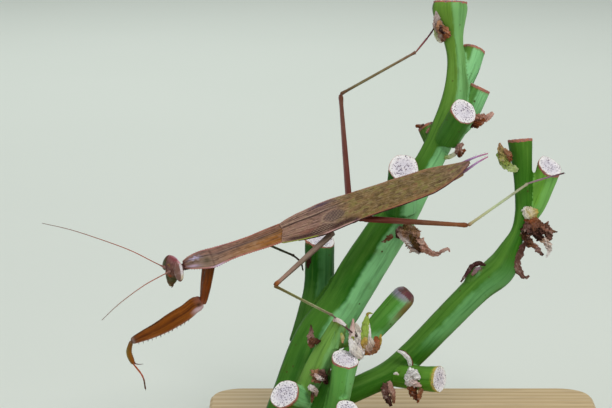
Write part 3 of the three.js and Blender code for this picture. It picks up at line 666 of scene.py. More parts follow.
def stem_paint(points, normals, nearest):
    """Greens of each stem, a pale painted highlight on the faces turned towards the light, painted shade on
    the undersides, brown edges.
    """
    which, along, angle, edge = nearest
    names = np.array(list(STEMS))[which.astype(int)]

    def among(*some):
        return np.isin(names, some)

    base = np.array([linear(STEM_TONES[name]) for name in STEMS])[which.astype(int)]
    high = step(66, 104, points[:, 2]) * among("stem", "branch")
    base = blend(base, (112, 150, 56), 0.8 * high)
    # painted highlight: a pale sky reflection on the facets that face the light
    facing = normals @ PAINTED_LIGHT_WAY
    painted_highlight = step(0.47, 0.68, facing + 0.06 * wobble(along * 0.5 + which * 9, 3)) * step(1.25, 0.85, facing)
    on_branch = 0.42 * step(52, 42, points[:, 2]) * step(27, 34, points[:, 2])
    painted_highlight = painted_highlight * np.where(among("branch"), on_branch, 1.0)
    painted_highlight = painted_highlight * np.where(among("stub_inner", "stub_right", "knob"), 0.25, 1.0)
    painted_highlight = painted_highlight * np.where(among("stub_low", "crotch", "stub_foot", "stub_front"), 0.5, 1.0)
    base = blend(base, (146, 214, 148), 0.84 * painted_highlight * (1 - 0.45 * high))
    shaded = step(0.15, -0.6, normals @ unit([0.5, -0.8, 0.3]))
    base = blend(base, (16, 62, 6), 0.5 * shaded)
    # painted light: faces turned upwards are painted lighter
    top = step(0.55, 0.9, normals @ unit([-0.35, -0.35, 0.85]))
    base = blend(base, (112, 158, 66), 0.35 * top)
    on_side = among("stub_side")
    lower_edge = on_side * step(11.0, 4.0, edge) * step(0.35, 0.75, normals @ unit([0.62, -0.25, -0.75]))
    base = blend(base, (128, 70, 26), 0.85 * lower_edge)
    # the stub's purple tip, painted pale lilac on one side as a painted highlight
    lilac_tip_highlight = on_side * step(3.4, 1.8, edge + 0.8 * np.cos(angle)) * (1 - lower_edge)
    base = blend(base, (170, 142, 186), 0.75 * lilac_tip_highlight)
    base = blend(base, (104, 40, 52), 0.95 * on_side * step(1.8, 1.0, edge + 0.5 * np.sin(angle)))
    cut_rim = step(0.9, 0.25, edge) * ~among("stem", "branch")
    rim_tone = blend(plain(base, (122, 78, 44)), (168, 176, 60), among("stub_end"))
    return blend(base, rim_tone, 0.7 * cut_rim)


def stem_material():
    s = Surface("green_stem", 0.5, Coat_Weight=0.03, Coat_Roughness=0.3)
    lie = s.attribute("lie")
    streak = s.noise(s.stretch(lie, (0.05, 2.6, 2.6)), 1.5, 4, 0.6)
    fine = s.noise(s.stretch(lie, (0.12, 11.0, 11.0)), 1.6, 3, 0.6)
    blotch = s.noise(s.coords, 140.0, 5, 0.62)
    speck = s.cells(s.coords, 420.0)
    colour = s.attribute("paint")
    colour = s.mixed(s.remap(streak, 0.5, 0.68, 0, 0.42), colour, (16, 74, 0))
    colour = s.mixed(s.remap(streak, 0.45, 0.3, 0, 0.18), colour, (128, 176, 74))
    colour = s.mixed(s.remap(fine, 0.55, 0.75, 0, 0.12), colour, (150, 194, 104))
    colour = s.mixed(s.remap(blotch, 0.6, 0.76, 0, 0.3), colour, (84, 96, 20))
    colour = s.mixed(s.sums("MULTIPLY", s.remap(speck, 0.16, 0.06), s.remap(blotch, 0.5, 0.62)), colour,
                     (74, 62, 24))
    s.colour(colour)
    s.roughness(s.remap(blotch, 0.3, 0.7, 0.42, 0.6))
    s.bump(streak, 0.25 * MM, 0.5)
    s.bump(fine, 0.06 * MM, 0.6)
    return s.material


# the cut ends: how far each is tilted and torn, and the seed of its roughness
CUTS = {
    "stub_base": {"tilt": (0.05, 0.0, 0.35), "seed": 2}, "stub_back": {"seed": 14}, "stub_foot": {"seed": 15},
    "stub_low": {"tilt": (0.1, -0.35, 0.1), "seed": 3}, "stub_end": {"seed": 4},
    "stub_middle": {"tilt": (0.0, -0.62, 0.0), "seed": 5},
    "stub_upper": {"tilt": (0.1, -0.35, 0.0), "seed": 6},
    "stub_right": {"tilt": (0.1, -0.62, 0.0), "torn": 0.7, "seed": 7},
    "stub_inner": {"tilt": (0.15, -0.35, 0.0), "torn": 0.5, "seed": 8}, "stub_left": {"seed": 9},
    "stub_top": {"seed": 10}, "stem": {"seed": 12}, "branch": {"seed": 13}}
# rings of a cut face from its middle out: share of the radius, and height. The last two go under the bark.
CUT_RINGS = ((0.06, 0.1), (0.2, 0.12), (0.35, 0.06), (0.5, 0.12), (0.65, 0.05), (0.78, 0.12), (0.88, 0.18),
             (0.94, 0.24), (0.985, 0.18), (1.0, 0.0), (0.99, -0.5), (0.9, -1.0))
UNDER_BARK = -0.2
CUT_SIDES = 72


def cut_plane(name):
    """Middle, outward way of the stub, square-on normal of the cut, two ways across, and radius."""
    axis = stem_axis(np.array(STEMS[name]))
    _, side, other = carried_frames(axis[:, :3])
    way = unit(axis[-1, :3] - axis[-2, :3])
    normal = unit(way + np.array(CUTS[name].get("tilt", (0, 0, 0)), float))
    return axis[-1, :3], way, normal, side[-1], other[-1], STEMS[name][-1][3]


def trim_ends(points):
    """Bring the skin beyond each cut back on to the cut."""
    for name in CUTS:
        middle, way, normal, _, _, radius = cut_plane(name)
        arm = points - middle
        rise = arm @ normal
        slide = rise / way.dot(normal)
        aside = np.linalg.norm(arm - (arm @ way)[:, None] * way, axis=1)
        proud = (rise > -0.02) & (slide < 5.0) & (aside < radius * 1.35)
        points[proud] -= way * slide[proud][:, None]
    return points


def perch_skin():
    """The merged stems, cut off level at the foot and flat at each cut, painted and shown."""
    skin = stem_skin()
    verts = np.zeros(len(skin.vertices) * 3)
    skin.vertices.foreach_get("co", verts)
    verts = trim_ends(verts.reshape(-1, 3) / MM)
    verts[:, 2] = np.maximum(verts[:, 2], BUTT_HEIGHT)
    skin.vertices.foreach_set("co", (verts * MM).ravel())
    skin.update()
    normals = np.zeros(len(skin.vertices) * 3)
    skin.vertices.foreach_get("normal", normals)
    nearest = nearest_stem(verts)
    which, along, angle, _ = nearest
    lies = np.stack([along + which * 31, np.cos(angle), np.sin(angle)], 1)
    paint_points(skin, stem_paint(verts, normals.reshape(-1, 3), nearest), lies)
    skin.materials.clear()
    dress(skin, "perch_skin", stem_material(), [n for n in NODES if n.startswith("perch")])


def cut_material():
    s = Surface("cut_pith", 0.7)
    paint = s.attribute("paint")
    grain = s.noise(s.coords, 1700.0, 4, 0.65)
    bundles = s.cells(s.coords, 2100.0)
    blots = s.noise(s.coords, 420.0, 4, 0.65)
    colour = s.mixed(s.sums("MULTIPLY", s.remap(bundles, 0.46, 0.26), s.remap(blots, 0.36, 0.56)), paint,
                     (128, 116, 138))
    colour = s.mixed(s.remap(grain, 0.58, 0.74, 0, 0.6), colour, (176, 140, 132))
    colour = s.mixed(s.remap(blots, 0.62, 0.76, 0, 0.4), colour, (206, 184, 180))
    s.colour(colour)
    s.bump(bundles, 0.25 * MM, 0.9)
    s.bump(grain, 0.2 * MM, 0.8)
    return s.material


CUT_MATERIAL = cut_material()


def cut_face(name):
    """The pale cut end of a stub: pith with a brown rim that lips over the bark."""
    middle, way, normal, side, other, radius = cut_plane(name)
    torn, seed = CUTS[name].get("torn", 0.0), CUTS[name]["seed"]
    turn = np.linspace(0, 2 * np.pi, CUT_SIDES, endpoint=False)
    round_it = side * np.cos(turn)[:, None] + other * np.sin(turn)[:, None]
    round_it = round_it - way * (round_it @ normal / way.dot(normal))[:, None]
    reach = radius * five_sided(name, turn) * (1 + 0.02 * wobble(turn, seed, 3, 2.0))
    rings, marks = [], []
    for share, height in CUT_RINGS:
        lift, mark = np.full(CUT_SIDES, height), 1.1
        if height > UNDER_BARK:
            lift = lift + 0.06 * wobble(turn * (2 + 5 * share), seed + int(share * 40), 4, 1.5)
            lift = lift + torn * np.maximum(0, wobble(turn, seed + 5, 4, 2.0)) * step(0.6, 0.94, share)
            mark = share
        rings.append(middle + round_it * (reach * share)[:, None] + normal * lift[:, None])
        marks.append(np.stack([np.full(CUT_SIDES, mark), turn, turn * 0], 1))

    def paint(p, where):
        share, angle, _ = where.T
        colour = blend(plain(p, (250, 244, 250)), (255, 252, 252), step(0.72, 0.88, share))
        colour = blend(colour, (208, 202, 220), hump(share, 0.35, 0.28) * 0.5)
        rim = step(0.955, 0.99, share + 0.012 * wobble(angle, seed, 4, 3.0))
        return blend(colour, (196, 176, 84) if name == "stub_end" else (184, 118, 96), rim)

    shape = Shape(row_place)
    shape.grid(rings, paint, where=np.array(marks))
    shape.make(f"perch_cut_{name}", CUT_MATERIAL)


perch_skin()
for cut in CUTS:
    cut_face(cut)


# ---------- head ----------
# height, and half width, reach ahead and reach behind at it
HEAD_ROWS = np.array([
    [3.4, 0.9, 0.2, 0.6], [3.1, 1.7, 0.55, 1.0], [2.4, 2.2, 0.95, 1.3], [1.5, 2.45, 1.25, 1.5],
    [0.6, 2.55, 1.4, 1.55], [-0.5, 2.35, 1.5, 1.4], [-1.6, 2.1, 1.55, 1.15], [-2.7, 1.75, 1.5, 0.85],
    [-3.8, 1.15, 1.2, 0.4]])
MOUTH_DROP = (0, 0, -0.5)
DARK_SHELL = (52, 34, 30)


def head_paint(p, where):
    """Tones down the face, with its lines, brow, red streaks and a pale rim that is a painted highlight;
    `where` isn't needed.
    """
    x, y, z = p.T
    colour = stops(z, [(-3.8, (92, 52, 24)), (-2.8, (70, 62, 26)), (-1.7, (62, 66, 30)),
                       (-0.75, (104, 70, 56)), (0.2, (114, 74, 64)), (1.8, (126, 86, 78)),
                       (2.8, (134, 84, 84)), (3.4, (146, 70, 78))])
    cloud = wobble(y * 1.6 + z * 0.8, 12, 5, 1.0) * wobble(z * 1.9 - y * 0.7, 15, 4, 1.0)
    colour = blend(colour, (76, 46, 44), 0.45 * step(0.1, 0.8, cloud))
    colour = blend(colour, (160, 120, 118), 0.35 * step(0.1, 0.8, -cloud))
    line = hump(np.abs(y), 0.95, 0.07) * step(0.4, 0.9, z) * step(-0.2, 0.3, x)
    colour = blend(colour, DARK_SHELL, 0.5 * line)
    brow = hump(z, 0.55, 0.1) * step(0.3, 0.8, x) * step(1.7, 1.2, np.abs(y))
    colour = blend(colour, DARK_SHELL, 0.5 * brow)
    clypeus = hump(z, -1.75, 0.09) * step(0.2, 0.6, x)
    colour = blend(colour, DARK_SHELL, 0.6 * clypeus)
    streak = hump(z, -1.1, 0.34) * hump(np.abs(y), 0.9, 0.5) * step(0.6, 1.0, x)
    colour = blend(colour, (168, 62, 22), 0.7 * streak)
    # painted highlight: a pale lilac sheen along the upper rear rim of the head
    rim = hump(x + 0.22 * (z - 1.6), -0.4, 0.3) * step(0.6, 1.6, z)
    colour = blend(colour, (226, 206, 226), 0.9 * rim)
    nape = step(-0.75, -1.05, x + 0.22 * (z - 1.6)) * step(-1.6, -0.6, z)
    return blend(colour, (98, 60, 60), 0.7 * nape)


SOCKET = (1.42, 0.98, 0.25)
SOCKET_RADIUS = 0.3


def head_capsule():
    shape = Shape(head_place)
    levels = np.concatenate([[3.4, 3.38], np.linspace(3.33, -3.7, 62), [-3.77, -3.8]])
    order = HEAD_ROWS[::-1]
    half, ahead, behind = (curve_through(order[:, [0, k]], levels, 0.45) for k in (1, 2, 3))
    sides = 72
    turn = np.linspace(0, 2 * np.pi, sides, endpoint=False)
    rows = []
    for i, z in enumerate(levels):
        shrink = {0: 0.35, 1: 0.7, len(levels) - 1: 0.6, len(levels) - 2: 0.9}.get(i, 1.0)
        reach = np.where(np.cos(turn) > 0, ahead[i], behind[i]) * shrink
        x = reach * np.sign(np.cos(turn)) * np.abs(np.cos(turn)) ** 0.9
        y = half[i] * shrink * np.sin(turn)
        front = step(0.2, 0.7, np.cos(turn))
        plate = front * step(1.3, 1.0, np.abs(y)) * (step(-1.75, -1.6, z) - step(-0.35, -0.2, z))
        bulge = 0.12 * hump(np.abs(y), 1.7, 0.5) * step(1.0, 1.9, z)
        groove = -0.07 * (hump(np.abs(y), 0.95, 0.09) * step(0.0, 0.5, z)
                          + hump(z, -1.95, 0.09)) * step(-0.1, 0.4, np.cos(turn))
        nose = 0.12 * hump(y, 0, 0.35) * (step(-2.9, -2.5, z) - step(-2.0, -1.9, z)) * front
        x = x + 0.14 * plate + groove + nose
        rows.append(np.stack([x, y, z + bulge], 1))
    shape.grid(rows, head_paint)
    for y, z, size in ((0, 1.75, 0.16), (0.36, 1.45, 0.18), (-0.36, 1.45, 0.18)):
        x = np.interp(z, HEAD_ROWS[::-1, 0], HEAD_ROWS[::-1, 2]) - 0.06
        shape.ball((x, y, z), (size, size, size), (150, 120, 60))
    for side in (1, -1):
        ring = np.linspace(0, 2 * np.pi, 24, endpoint=False)
        ring = np.stack([ring * 0, SOCKET_RADIUS * np.cos(ring), SOCKET_RADIUS * np.sin(ring)], 1)
        socket = np.array(SOCKET) * [1, side, 1] + ring
        loop = np.vstack([socket, socket[:1]])
        shape.tube(loop, 0.07, (120, 88, 84), sides=10, round_ends=False)
    shape.make("head_shell", MATERIALS["head"], ["head"])


EYE = {"side": 2.5, "rise": 0.6, "forward": -0.1, "axes": (1.25, 1.15, 2.8), "tilt": -22}
FACET = 0.085 * MM


def eye_material(name, pale, dark):
    s = Surface(name, 0.18, Coat_Weight=0.5, Coat_Roughness=0.08)
    paint = s.attribute("paint")
    facets = s.cells(s.coords, 1 / FACET)
    cloud = s.noise(s.coords, 900.0, 3, 0.5)
    colour = s.mixed(s.remap(cloud, 0.55, 0.75, 0, 0.25), paint, dark)
    colour = s.mixed(s.remap(cloud, 0.45, 0.3, 0, 0.3), colour, pale)
    colour = s.mixed(s.remap(facets, 0.4, 0.6, 0, 0.2), colour, dark)
    s.colour(colour)
    s.bump(facets, 0.012 * MM, 0.5)
    return s.material


def compound_eye(side, name, material, body_colour, top_colour, highlight_band_colour, highlight_low_colour, rim_colour):
    """An eye with a pale band down its rear face, a painted highlight: lilac-white above and cream below on
    the near eye.
    """
    tilt = np.array(Matrix.Rotation(math.radians(-EYE["tilt"] * side), 3, "X"))

    def paint(p, where):
        rear, high = -where[:, 0], where[:, 2]
        flecks = wobble(high * 11 + rear * 3, 7)
        colour = blend(plain(p, body_colour), top_colour, step(0.3, 0.95, high))
        # painted highlight: the pale band down the rear face of the eye
        band = step(-0.24, -0.04, rear + 0.06 * flecks - 0.08 * high) * step(-0.95, -0.6, high)
        highlight_band_tone = blend(plain(p, highlight_band_colour), (214, 150, 160), step(0.55, 0.85, high))
        highlight_band_tone = blend(highlight_band_tone, highlight_low_colour, step(-0.1, -0.6, high))
        colour = colour + (highlight_band_tone - colour) * (band * (0.86 + 0.14 * flecks))[:, None]
        spots = hump(rear - 0.08 * high, -0.12, 0.12) * step(0.1, 0.6, flecks) * step(0.85, 0.5, np.abs(high))
        colour = blend(colour, (52, 34, 48), 0.8 * spots)
        rim = step(0.5, 0.66, rear + 0.1 * high) * step(0.45, 0.0, high)
        return blend(colour, rim_colour, np.maximum(rim, step(0.84, 0.93, -high)))

    shape = Shape(head_place)
    centre = (EYE["forward"], side * EYE["side"], EYE["rise"])
    shape.ball(centre, EYE["axes"], paint, turn=tilt, rows=44, sides=60)
    shape.make(name, material, [f"eye_{'left' if side > 0 else 'right'}"])


def feeding_parts():
    """Upper lip, a pair of jaws and two pairs of palps."""
    shape = Shape(lambda points: head_place(np.asarray(points) + MOUTH_DROP))
    tan, dark = (140, 84, 40), (58, 52, 28)
    turn = np.linspace(0, 2 * np.pi, 28, endpoint=False)
    rows = []
    for t in np.linspace(0, 1, 16):
        half = 0.82 * math.sqrt(max(0.02, 1 - t ** 3))
        centre = 0.72 - 0.12 * t
        rows.append(np.stack([centre + 0.26 * (1 - 0.5 * t) * np.cos(turn), half * np.sin(turn),
                              turn * 0 + mix(-3.15, -4.35, t)], 1))
    shape.grid(rows, lambda p, w: blend(stops(p[:, 2], [(-4.4, tan), (-3.6, (96, 88, 46)), (-3.1, dark)]),
                                        dark, 0.6 * hump(p[:, 1], 0, 0.06)))
    for side in (1, -1):
        jaw = spline([[0.45, side * 0.95, -2.9], [0.55, side * 0.9, -3.5], [0.45, side * 0.55, -4.1],
                      [0.35, side * 0.12, -4.45]], 20)
        jaw_paint = tone((0, (92, 66, 40)), (0.6, (70, 44, 24)), (1, (26, 14, 10)))
        shape.tube(jaw, np.linspace(0.42, 0.16, 20), jaw_paint, flat=0.7, broad=(1, 0, 0), sides=18)
        for root, middle, tip, beads in (((0.1, 0.62, -3.2), (0.15, 0.85, -3.9), (0.45, 0.5, -4.7), 5),
                                         ((-0.1, 0.3, -3.3), (-0.2, 0.42, -3.9), (0.05, 0.25, -4.5), 3)):
            path, share = smooth_run(np.array([root, middle, tip]) * [1, side, 1], 40)
            shape.tube(path, 0.1 * (1 + 0.25 * np.cos(2 * np.pi * beads * share)) * (1 - 0.25 * share),
                       tone((0, (120, 90, 56)), (1, (90, 50, 34))), sides=10)
    throat = spline([[-0.1, 0, -2.9], [0.05, 0, -3.6], [0.2, 0, -4.2]], 12)
    shape.tube(throat, np.linspace(0.55, 0.35, 12), dark, flat=0.6, broad=(0, 1, 0), sides=20)
    shape.make("mouth_plates", MATERIALS["head"], ["mouthparts"])


def feeler(name, points):
    """A ringed feeler with a swollen scape and pedicel, and short hairs."""
    path, share = smooth_run(points, 420)
    last, rings = len(path) - 1, 62
    half = curve_through([[0, 0.16], [0.1, 0.12], [0.5, 0.1], [1, 0.065]], share)
    half = half * (1 + 0.14 * np.cos(2 * np.pi * rings * share))
    scape, pedicel = step(0.028, 0.02, share), step(0.05, 0.044, share)
    half = half + 0.13 * scape * np.sin(np.pi * np.clip(share / 0.03, 0, 1)) ** 0.5 + 0.09 * pedicel

    def paint(p, where):
        t = where[:, 0]
        colour = stops(t, [(0, (140, 106, 98)), (0.04, (150, 112, 104)), (0.08, (166, 96, 76)),
                           (0.2, (184, 84, 58)), (0.55, (158, 84, 60)), (1, (110, 82, 70))])
        return blend(colour, (96, 46, 36), 0.35 * (np.cos(2 * np.pi * rings * t) < -0.4))

    shape = Shape()
    shape.tube(path, half, paint, sides=14)
    hairs = np.random.default_rng(len(name))
    for t in np.arange(0.08, 0.99, 0.022):
        i = int(t * last)
        at = path[i]
        way = unit(hairs.normal(size=3) + 0.8 * unit(path[min(last, i + 3)] - at))
        shape.cone(at, at + way * 0.42, 0.018, (120, 70, 54), sides=4)
    shape.make(name + "_rings", MATERIALS["antenna"], [name])


def neck_membrane():
    shape = Shape()
    path, share = smooth_run([[24.4, 0.85, 2.2], [26.2, 1.0, 2.8], [28.3, 1.05, 3.8]], 60)
    half = 0.93 * (1 + 0.035 * np.sin(share * 60)) * (1 + 0.06 * np.cos(np.pi * 2 * share))
    shape.tube(path, half, tone((0, (84, 56, 48)), (0.5, (96, 66, 62)), (1, (70, 44, 42))), sides=40,
               relief=lambda s, a: 1 + 0.03 * np.cos(6 * a))
    shape.make("neck_folds", MATERIALS["head"], ["neck"])


# ---------- fore body ----------
PRONOTUM_TURN = euler_zyx(0, -8, 2.2)
SHIELD_LENGTH = 26.2
SHIELD_GROOVE = 18.9
# half width, middle, and height of the back and the belly, against the distance from the rear edge
SHIELD = {
    "half": [[-0.8, 2.55], [0, 2.62], [4.3, 2.55], [8.4, 2.3], [12.5, 2.27], [14.4, 2.36], [16.6, 2.54],
             [17.6, 2.68], [19, 2.8], [20.7, 2.7], [22.7, 2.34], [24.6, 1.82], [25.5, 1.4], [26.2, 0.85]],
    "middle": [[-0.8, -0.2], [0, -0.12], [4.3, 0.12], [8.4, 0.27], [12.5, 0.3], [14.4, 0.35],
               [16.6, 0.46], [17.6, 0.54], [19, 0.56], [20.7, 0.31], [22.7, 0.08], [24.6, -0.05],
               [25.5, -0.08], [26.2, -0.2]],
    "back": [[0, 0.9], [14, 0.75], [18.6, 0.7], [19.4, 0.85], [24, 0.75], [26.2, 0.3]],
    "belly": [[0, 1.5], [6, 1.3], [14, 1.3], [19, 1.7], [23, 1.4], [26.2, 0.6]],
}
# streaks along the shield: how close they are, seed, tone and strength of the light or dark ones
SHIELD_STREAKS = ((9, 5, (78, 50, 46), 0.55), (21, 6, (62, 40, 40), 0.45), (15, 7, (176, 134, 108), 0.35))


def shield_paint(p, where):
    x, across, under = where.T
    half = curve_through(SHIELD["half"], x)
    share = across / half
    near = step(-0.15, 0.25, share)
    colour = stops(x, [(0, (140, 94, 48)), (8, (154, 110, 68)), (13, (156, 115, 90)),
                       (19, (146, 117, 101)), (22, (141, 119, 105)), (26, (124, 94, 86))])
    rear_flank = near * step(11, 3, x) * step(0.05, 0.35, share)
    colour = blend(colour, (158, 98, 36), 0.85 * rear_flank)
    middle_flank = near * hump(x, 10, 4) * hump(share, 0.55, 0.25)
    colour = blend(colour, (170, 122, 80), 0.65 * middle_flank)
    far_side = step(-0.2, -0.45, share)
    colour = blend(colour, (134, 92, 84), 0.6 * far_side)
    for waves, seed, streak_tone, amount in SHIELD_STREAKS:
        streaks = wobble(share * waves + 0.06 * x, seed, 4, 2.0)
        colour = blend(colour, streak_tone, amount * step(0.3, 0.9, streaks))
    value, _ = mosaic(x, across, 1.3, 0.42, 3)
    colour = blend(colour, (72, 50, 42), 0.4 * step(0.72, 0.95, value))
    colour = blend(colour, (170, 136, 112), 0.3 * step(0.2, 0.04, value))
    front = step(16.5, 19, x)
    middle = hump(share, -0.12 - 0.1 * front, 0.06) + hump(share, -0.34, 0.055) * step(19, 14, x)
    middle = middle + 0.7 * hump(share, 0.04, 0.05) * step(14, 17, x) * step(20, 18.5, x)
    colour = blend(colour, (58, 40, 42), 0.85 * np.minimum(1, middle) * step(-0.5, 2, x))
    band = hump(share, -0.1, 0.16) * step(2, 6, x) * step(20, 16, x)
    colour = blend(colour, (92, 76, 76), 0.55 * band)
    carina = hump(share, -0.22, 0.03) * step(0.5, 2, x) * step(20, 18, x)
    colour = blend(colour, (166, 132, 122), 0.55 * carina)
    prozone = step(SHIELD_GROOVE - 0.4, SHIELD_GROOVE + 0.6, x)
    # painted highlight: a pale lilac sheen on the front part of the shield
    patch = prozone * hump(share + 0.1 * np.sin(x * 5), -0.28, 0.24) * hump(x, 23.1, 1.3)
    patch = patch * (0.55 + 0.45 * np.sin(share * 26 + x * 2))
    colour = blend(colour, (216, 208, 250), 1.0 * patch)
    marks = prozone * hump(share, 0.16 + 0.05 * np.sin(x * 4), 0.08) * hump(x, 23.4, 1.7)
    colour = blend(colour, (66, 40, 18), 0.85 * marks)
    colour = blend(colour, (82, 78, 56), 0.6 * hump(x, 20.3, 0.9) * hump(share, 0.25, 0.35))
    # painted highlight: a second lilac patch near the front of the near margin
    tail = prozone * hump(share, 0.62, 0.14) * hump(x, 24.0, 1.5)
    colour = blend(colour, (198, 170, 198), 0.85 * tail)
    # painted shade in the groove across the shield
    colour = blend(colour, (80, 58, 52), 0.4 * hump(x, SHIELD_GROOVE, 0.26))
    colour = blend(colour, (96, 50, 40), 0.8 * step(25.4, 26.1, x))
    margin = step(0.82, 0.94, np.abs(share)) * (1 - under)
    colour = blend(colour, stops(x, [(0, (164, 98, 80)), (10, (184, 112, 98)), (16, (186, 118, 116)),
                                     (26, (178, 120, 112))]), 0.85 * margin)
    # painted highlight: a lilac sheen on the near margin just behind the groove
    lilac_highlight_edge = step(0.8, 0.95, share) * hump(x, 18.0, 1.5) * (1 - under)
    colour = blend(colour, (206, 190, 224), 0.9 * lilac_highlight_edge)
    belly = blend(plain(p, (122, 80, 48)), (80, 50, 34),
                  0.5 * step(0.0, 1.0, wobble(x * 1.4, 8)))
    return blend(colour, belly, under)


def shield():
    sides = 128
    turn = np.linspace(0, 2 * np.pi, sides, endpoint=False)
    across = np.sign(np.cos(turn)) * np.abs(np.cos(turn)) ** 0.8
    upper = np.sin(turn) >= 0
    xs = np.concatenate([[-0.8, -0.75, -0.65], np.linspace(-0.5, 25.95, 200), [26.05, 26.14, SHIELD_LENGTH]])
    middle = curve_through(SHIELD["middle"], xs, 0.9)
    half = curve_through(SHIELD["half"], xs, 0.9)
    back = curve_through(SHIELD["back"], xs, 0.5)
    belly = curve_through(SHIELD["belly"], xs, 0.8)
    rows, where = [], []
    for i, x in enumerate(xs):
        shrink = {0: 0.82, 1: 0.93, len(xs) - 1: 0.5, len(xs) - 2: 0.8}.get(i, 1.0)
        a = np.abs(across)
        height = np.where(upper, back[i] * (1 - a ** 1.6), -belly[i] * (1 - a ** 3))
        keel = 0.16 * hump(across, 0, 0.05) * step(1, 3, x) * step(25, 23, x)
        border = 0.1 * step(0.82, 0.95, a)
        furrow = -0.13 * hump(x - 0.5 * a, SHIELD_GROOVE, 0.32) * step(1.0, 0.8, a)
        sulci = -0.07 * hump(a, 0.45, 0.06) * step(25, 20, x)
        grain = 0.02 * wobble(x * 3 + across * 4, 21)
        folds = 0.06 * wobble(x * 1.2, 9) * (1 - a)
        height = height + np.where(upper, keel + border + furrow + sulci + grain, folds)
        y = half[i] * shrink * across
        rows.append(np.stack([np.full(sides, x), y + middle[i], height * shrink], 1) @ PRONOTUM_TURN.T)
        where.append(np.stack([np.full(sides, x), y, 1.0 * ~upper * step(0.99, 0.9, a)], 1))
    where = np.array(where)
    shape = Shape()
    shape.grid(rows, shield_paint, lie=where * [1, 0.32, 0], where=where)
    teeth = np.random.default_rng(4)
    for side in (1, -1):
        for x in np.arange(1.0, 24.6, 0.62):
            reach, off = curve_through(SHIELD["half"], x, 0.9), curve_through(SHIELD["middle"], x, 0.9)
            size = 0.22 if x > 15 else 0.14
            root = np.array([x, off + side * (reach - 0.08), 0.02])
            tip = np.array([x + 0.1, off + side * (reach + size * teeth.uniform(0.7, 1.1)), 0.0])
            shape.cone(root @ PRONOTUM_TURN.T, tip @ PRONOTUM_TURN.T, 0.12, (120, 74, 62), sides=6)
    shape.make("pronotum_shield", MATERIALS["pronotum"], ["pronotum"])


# ---------- wings ----------
# half width, middle, height of the crown and drop of the folded side, against the distance from the root
WING = {
    "half": [[0, 2.6], [2, 3.2], [4.5, 3.72], [9.8, 4.33], [13.8, 4.25], [19, 3.93], [26, 3.78],
             [31, 3.78], [39, 3.5], [42, 2.95], [44.4, 2.3], [47, 1.5], [48.7, 0.85], [50, 0.35]],
    "middle": [[0, 0], [9, 0], [14, -0.25], [20, -0.25], [31, 0.05], [39, 0.25], [44.4, 0.1],
               [47, -0.2], [50, -0.8]],
    "crown": [[0, 0.95], [4, 1.2], [38, 0.8], [50, 0.4]],
    "fold": [[0, 0.9], [7, 1.35], [35, 1.0], [44, 0.5], [50, 0.1]],
}
# veins: share of the half width at the root, middle and tip, and how strong each is
VEINS = [(0.9, 0.86, 0.9, 1.0), (0.76, 0.72, 0.8, 1.0), (0.62, 0.6, 0.68, 0.8), (0.46, 0.44, 0.52, 0.7),
         (0.3, 0.3, 0.34, 0.6), (0.16, 0.15, 0.2, 0.6)]


def wing_top(back, across):
    half = curve_through(WING["half"], back, 0.8)
    share = np.minimum(1, np.abs(across) / half)
    return curve_through(WING["crown"], back, 1) - curve_through(WING["fold"], back, 1) * share ** 2.6


def mosaic(x, y, wide, tall, seed):
    """Irregular cells about `wide` by `tall`: a number 0-1 for each cell, and how near its border is."""
    ids = np.random.default_rng(seed).random((512, 3))
    gx, gy = x / wide, y / tall
    best, second, value = np.full(x.shape, 9.0), np.full(x.shape, 9.0), np.zeros(x.shape)
    for i in (-1, 0, 1):
        for j in (-1, 0, 1):
            cx, cy = np.floor(gx) + i, np.floor(gy) + j
            dice = ids[np.mod(cx * 31 + cy * 17, 512).astype(int)]
            away = np.hypot(cx + dice[..., 0] - gx, cy + dice[..., 1] - gy)
            closer = away < best
            second = np.where(closer, best, np.minimum(second, away))
            value = np.where(closer, dice[..., 2], value)
            best = np.minimum(best, away)
    return value, second - best


def lines_at(share, places, width):
    """Lines that run lengthwise, from (share of the half width, strength) pairs."""
    return sum(strength * hump(share, at, width) for at, strength in places)


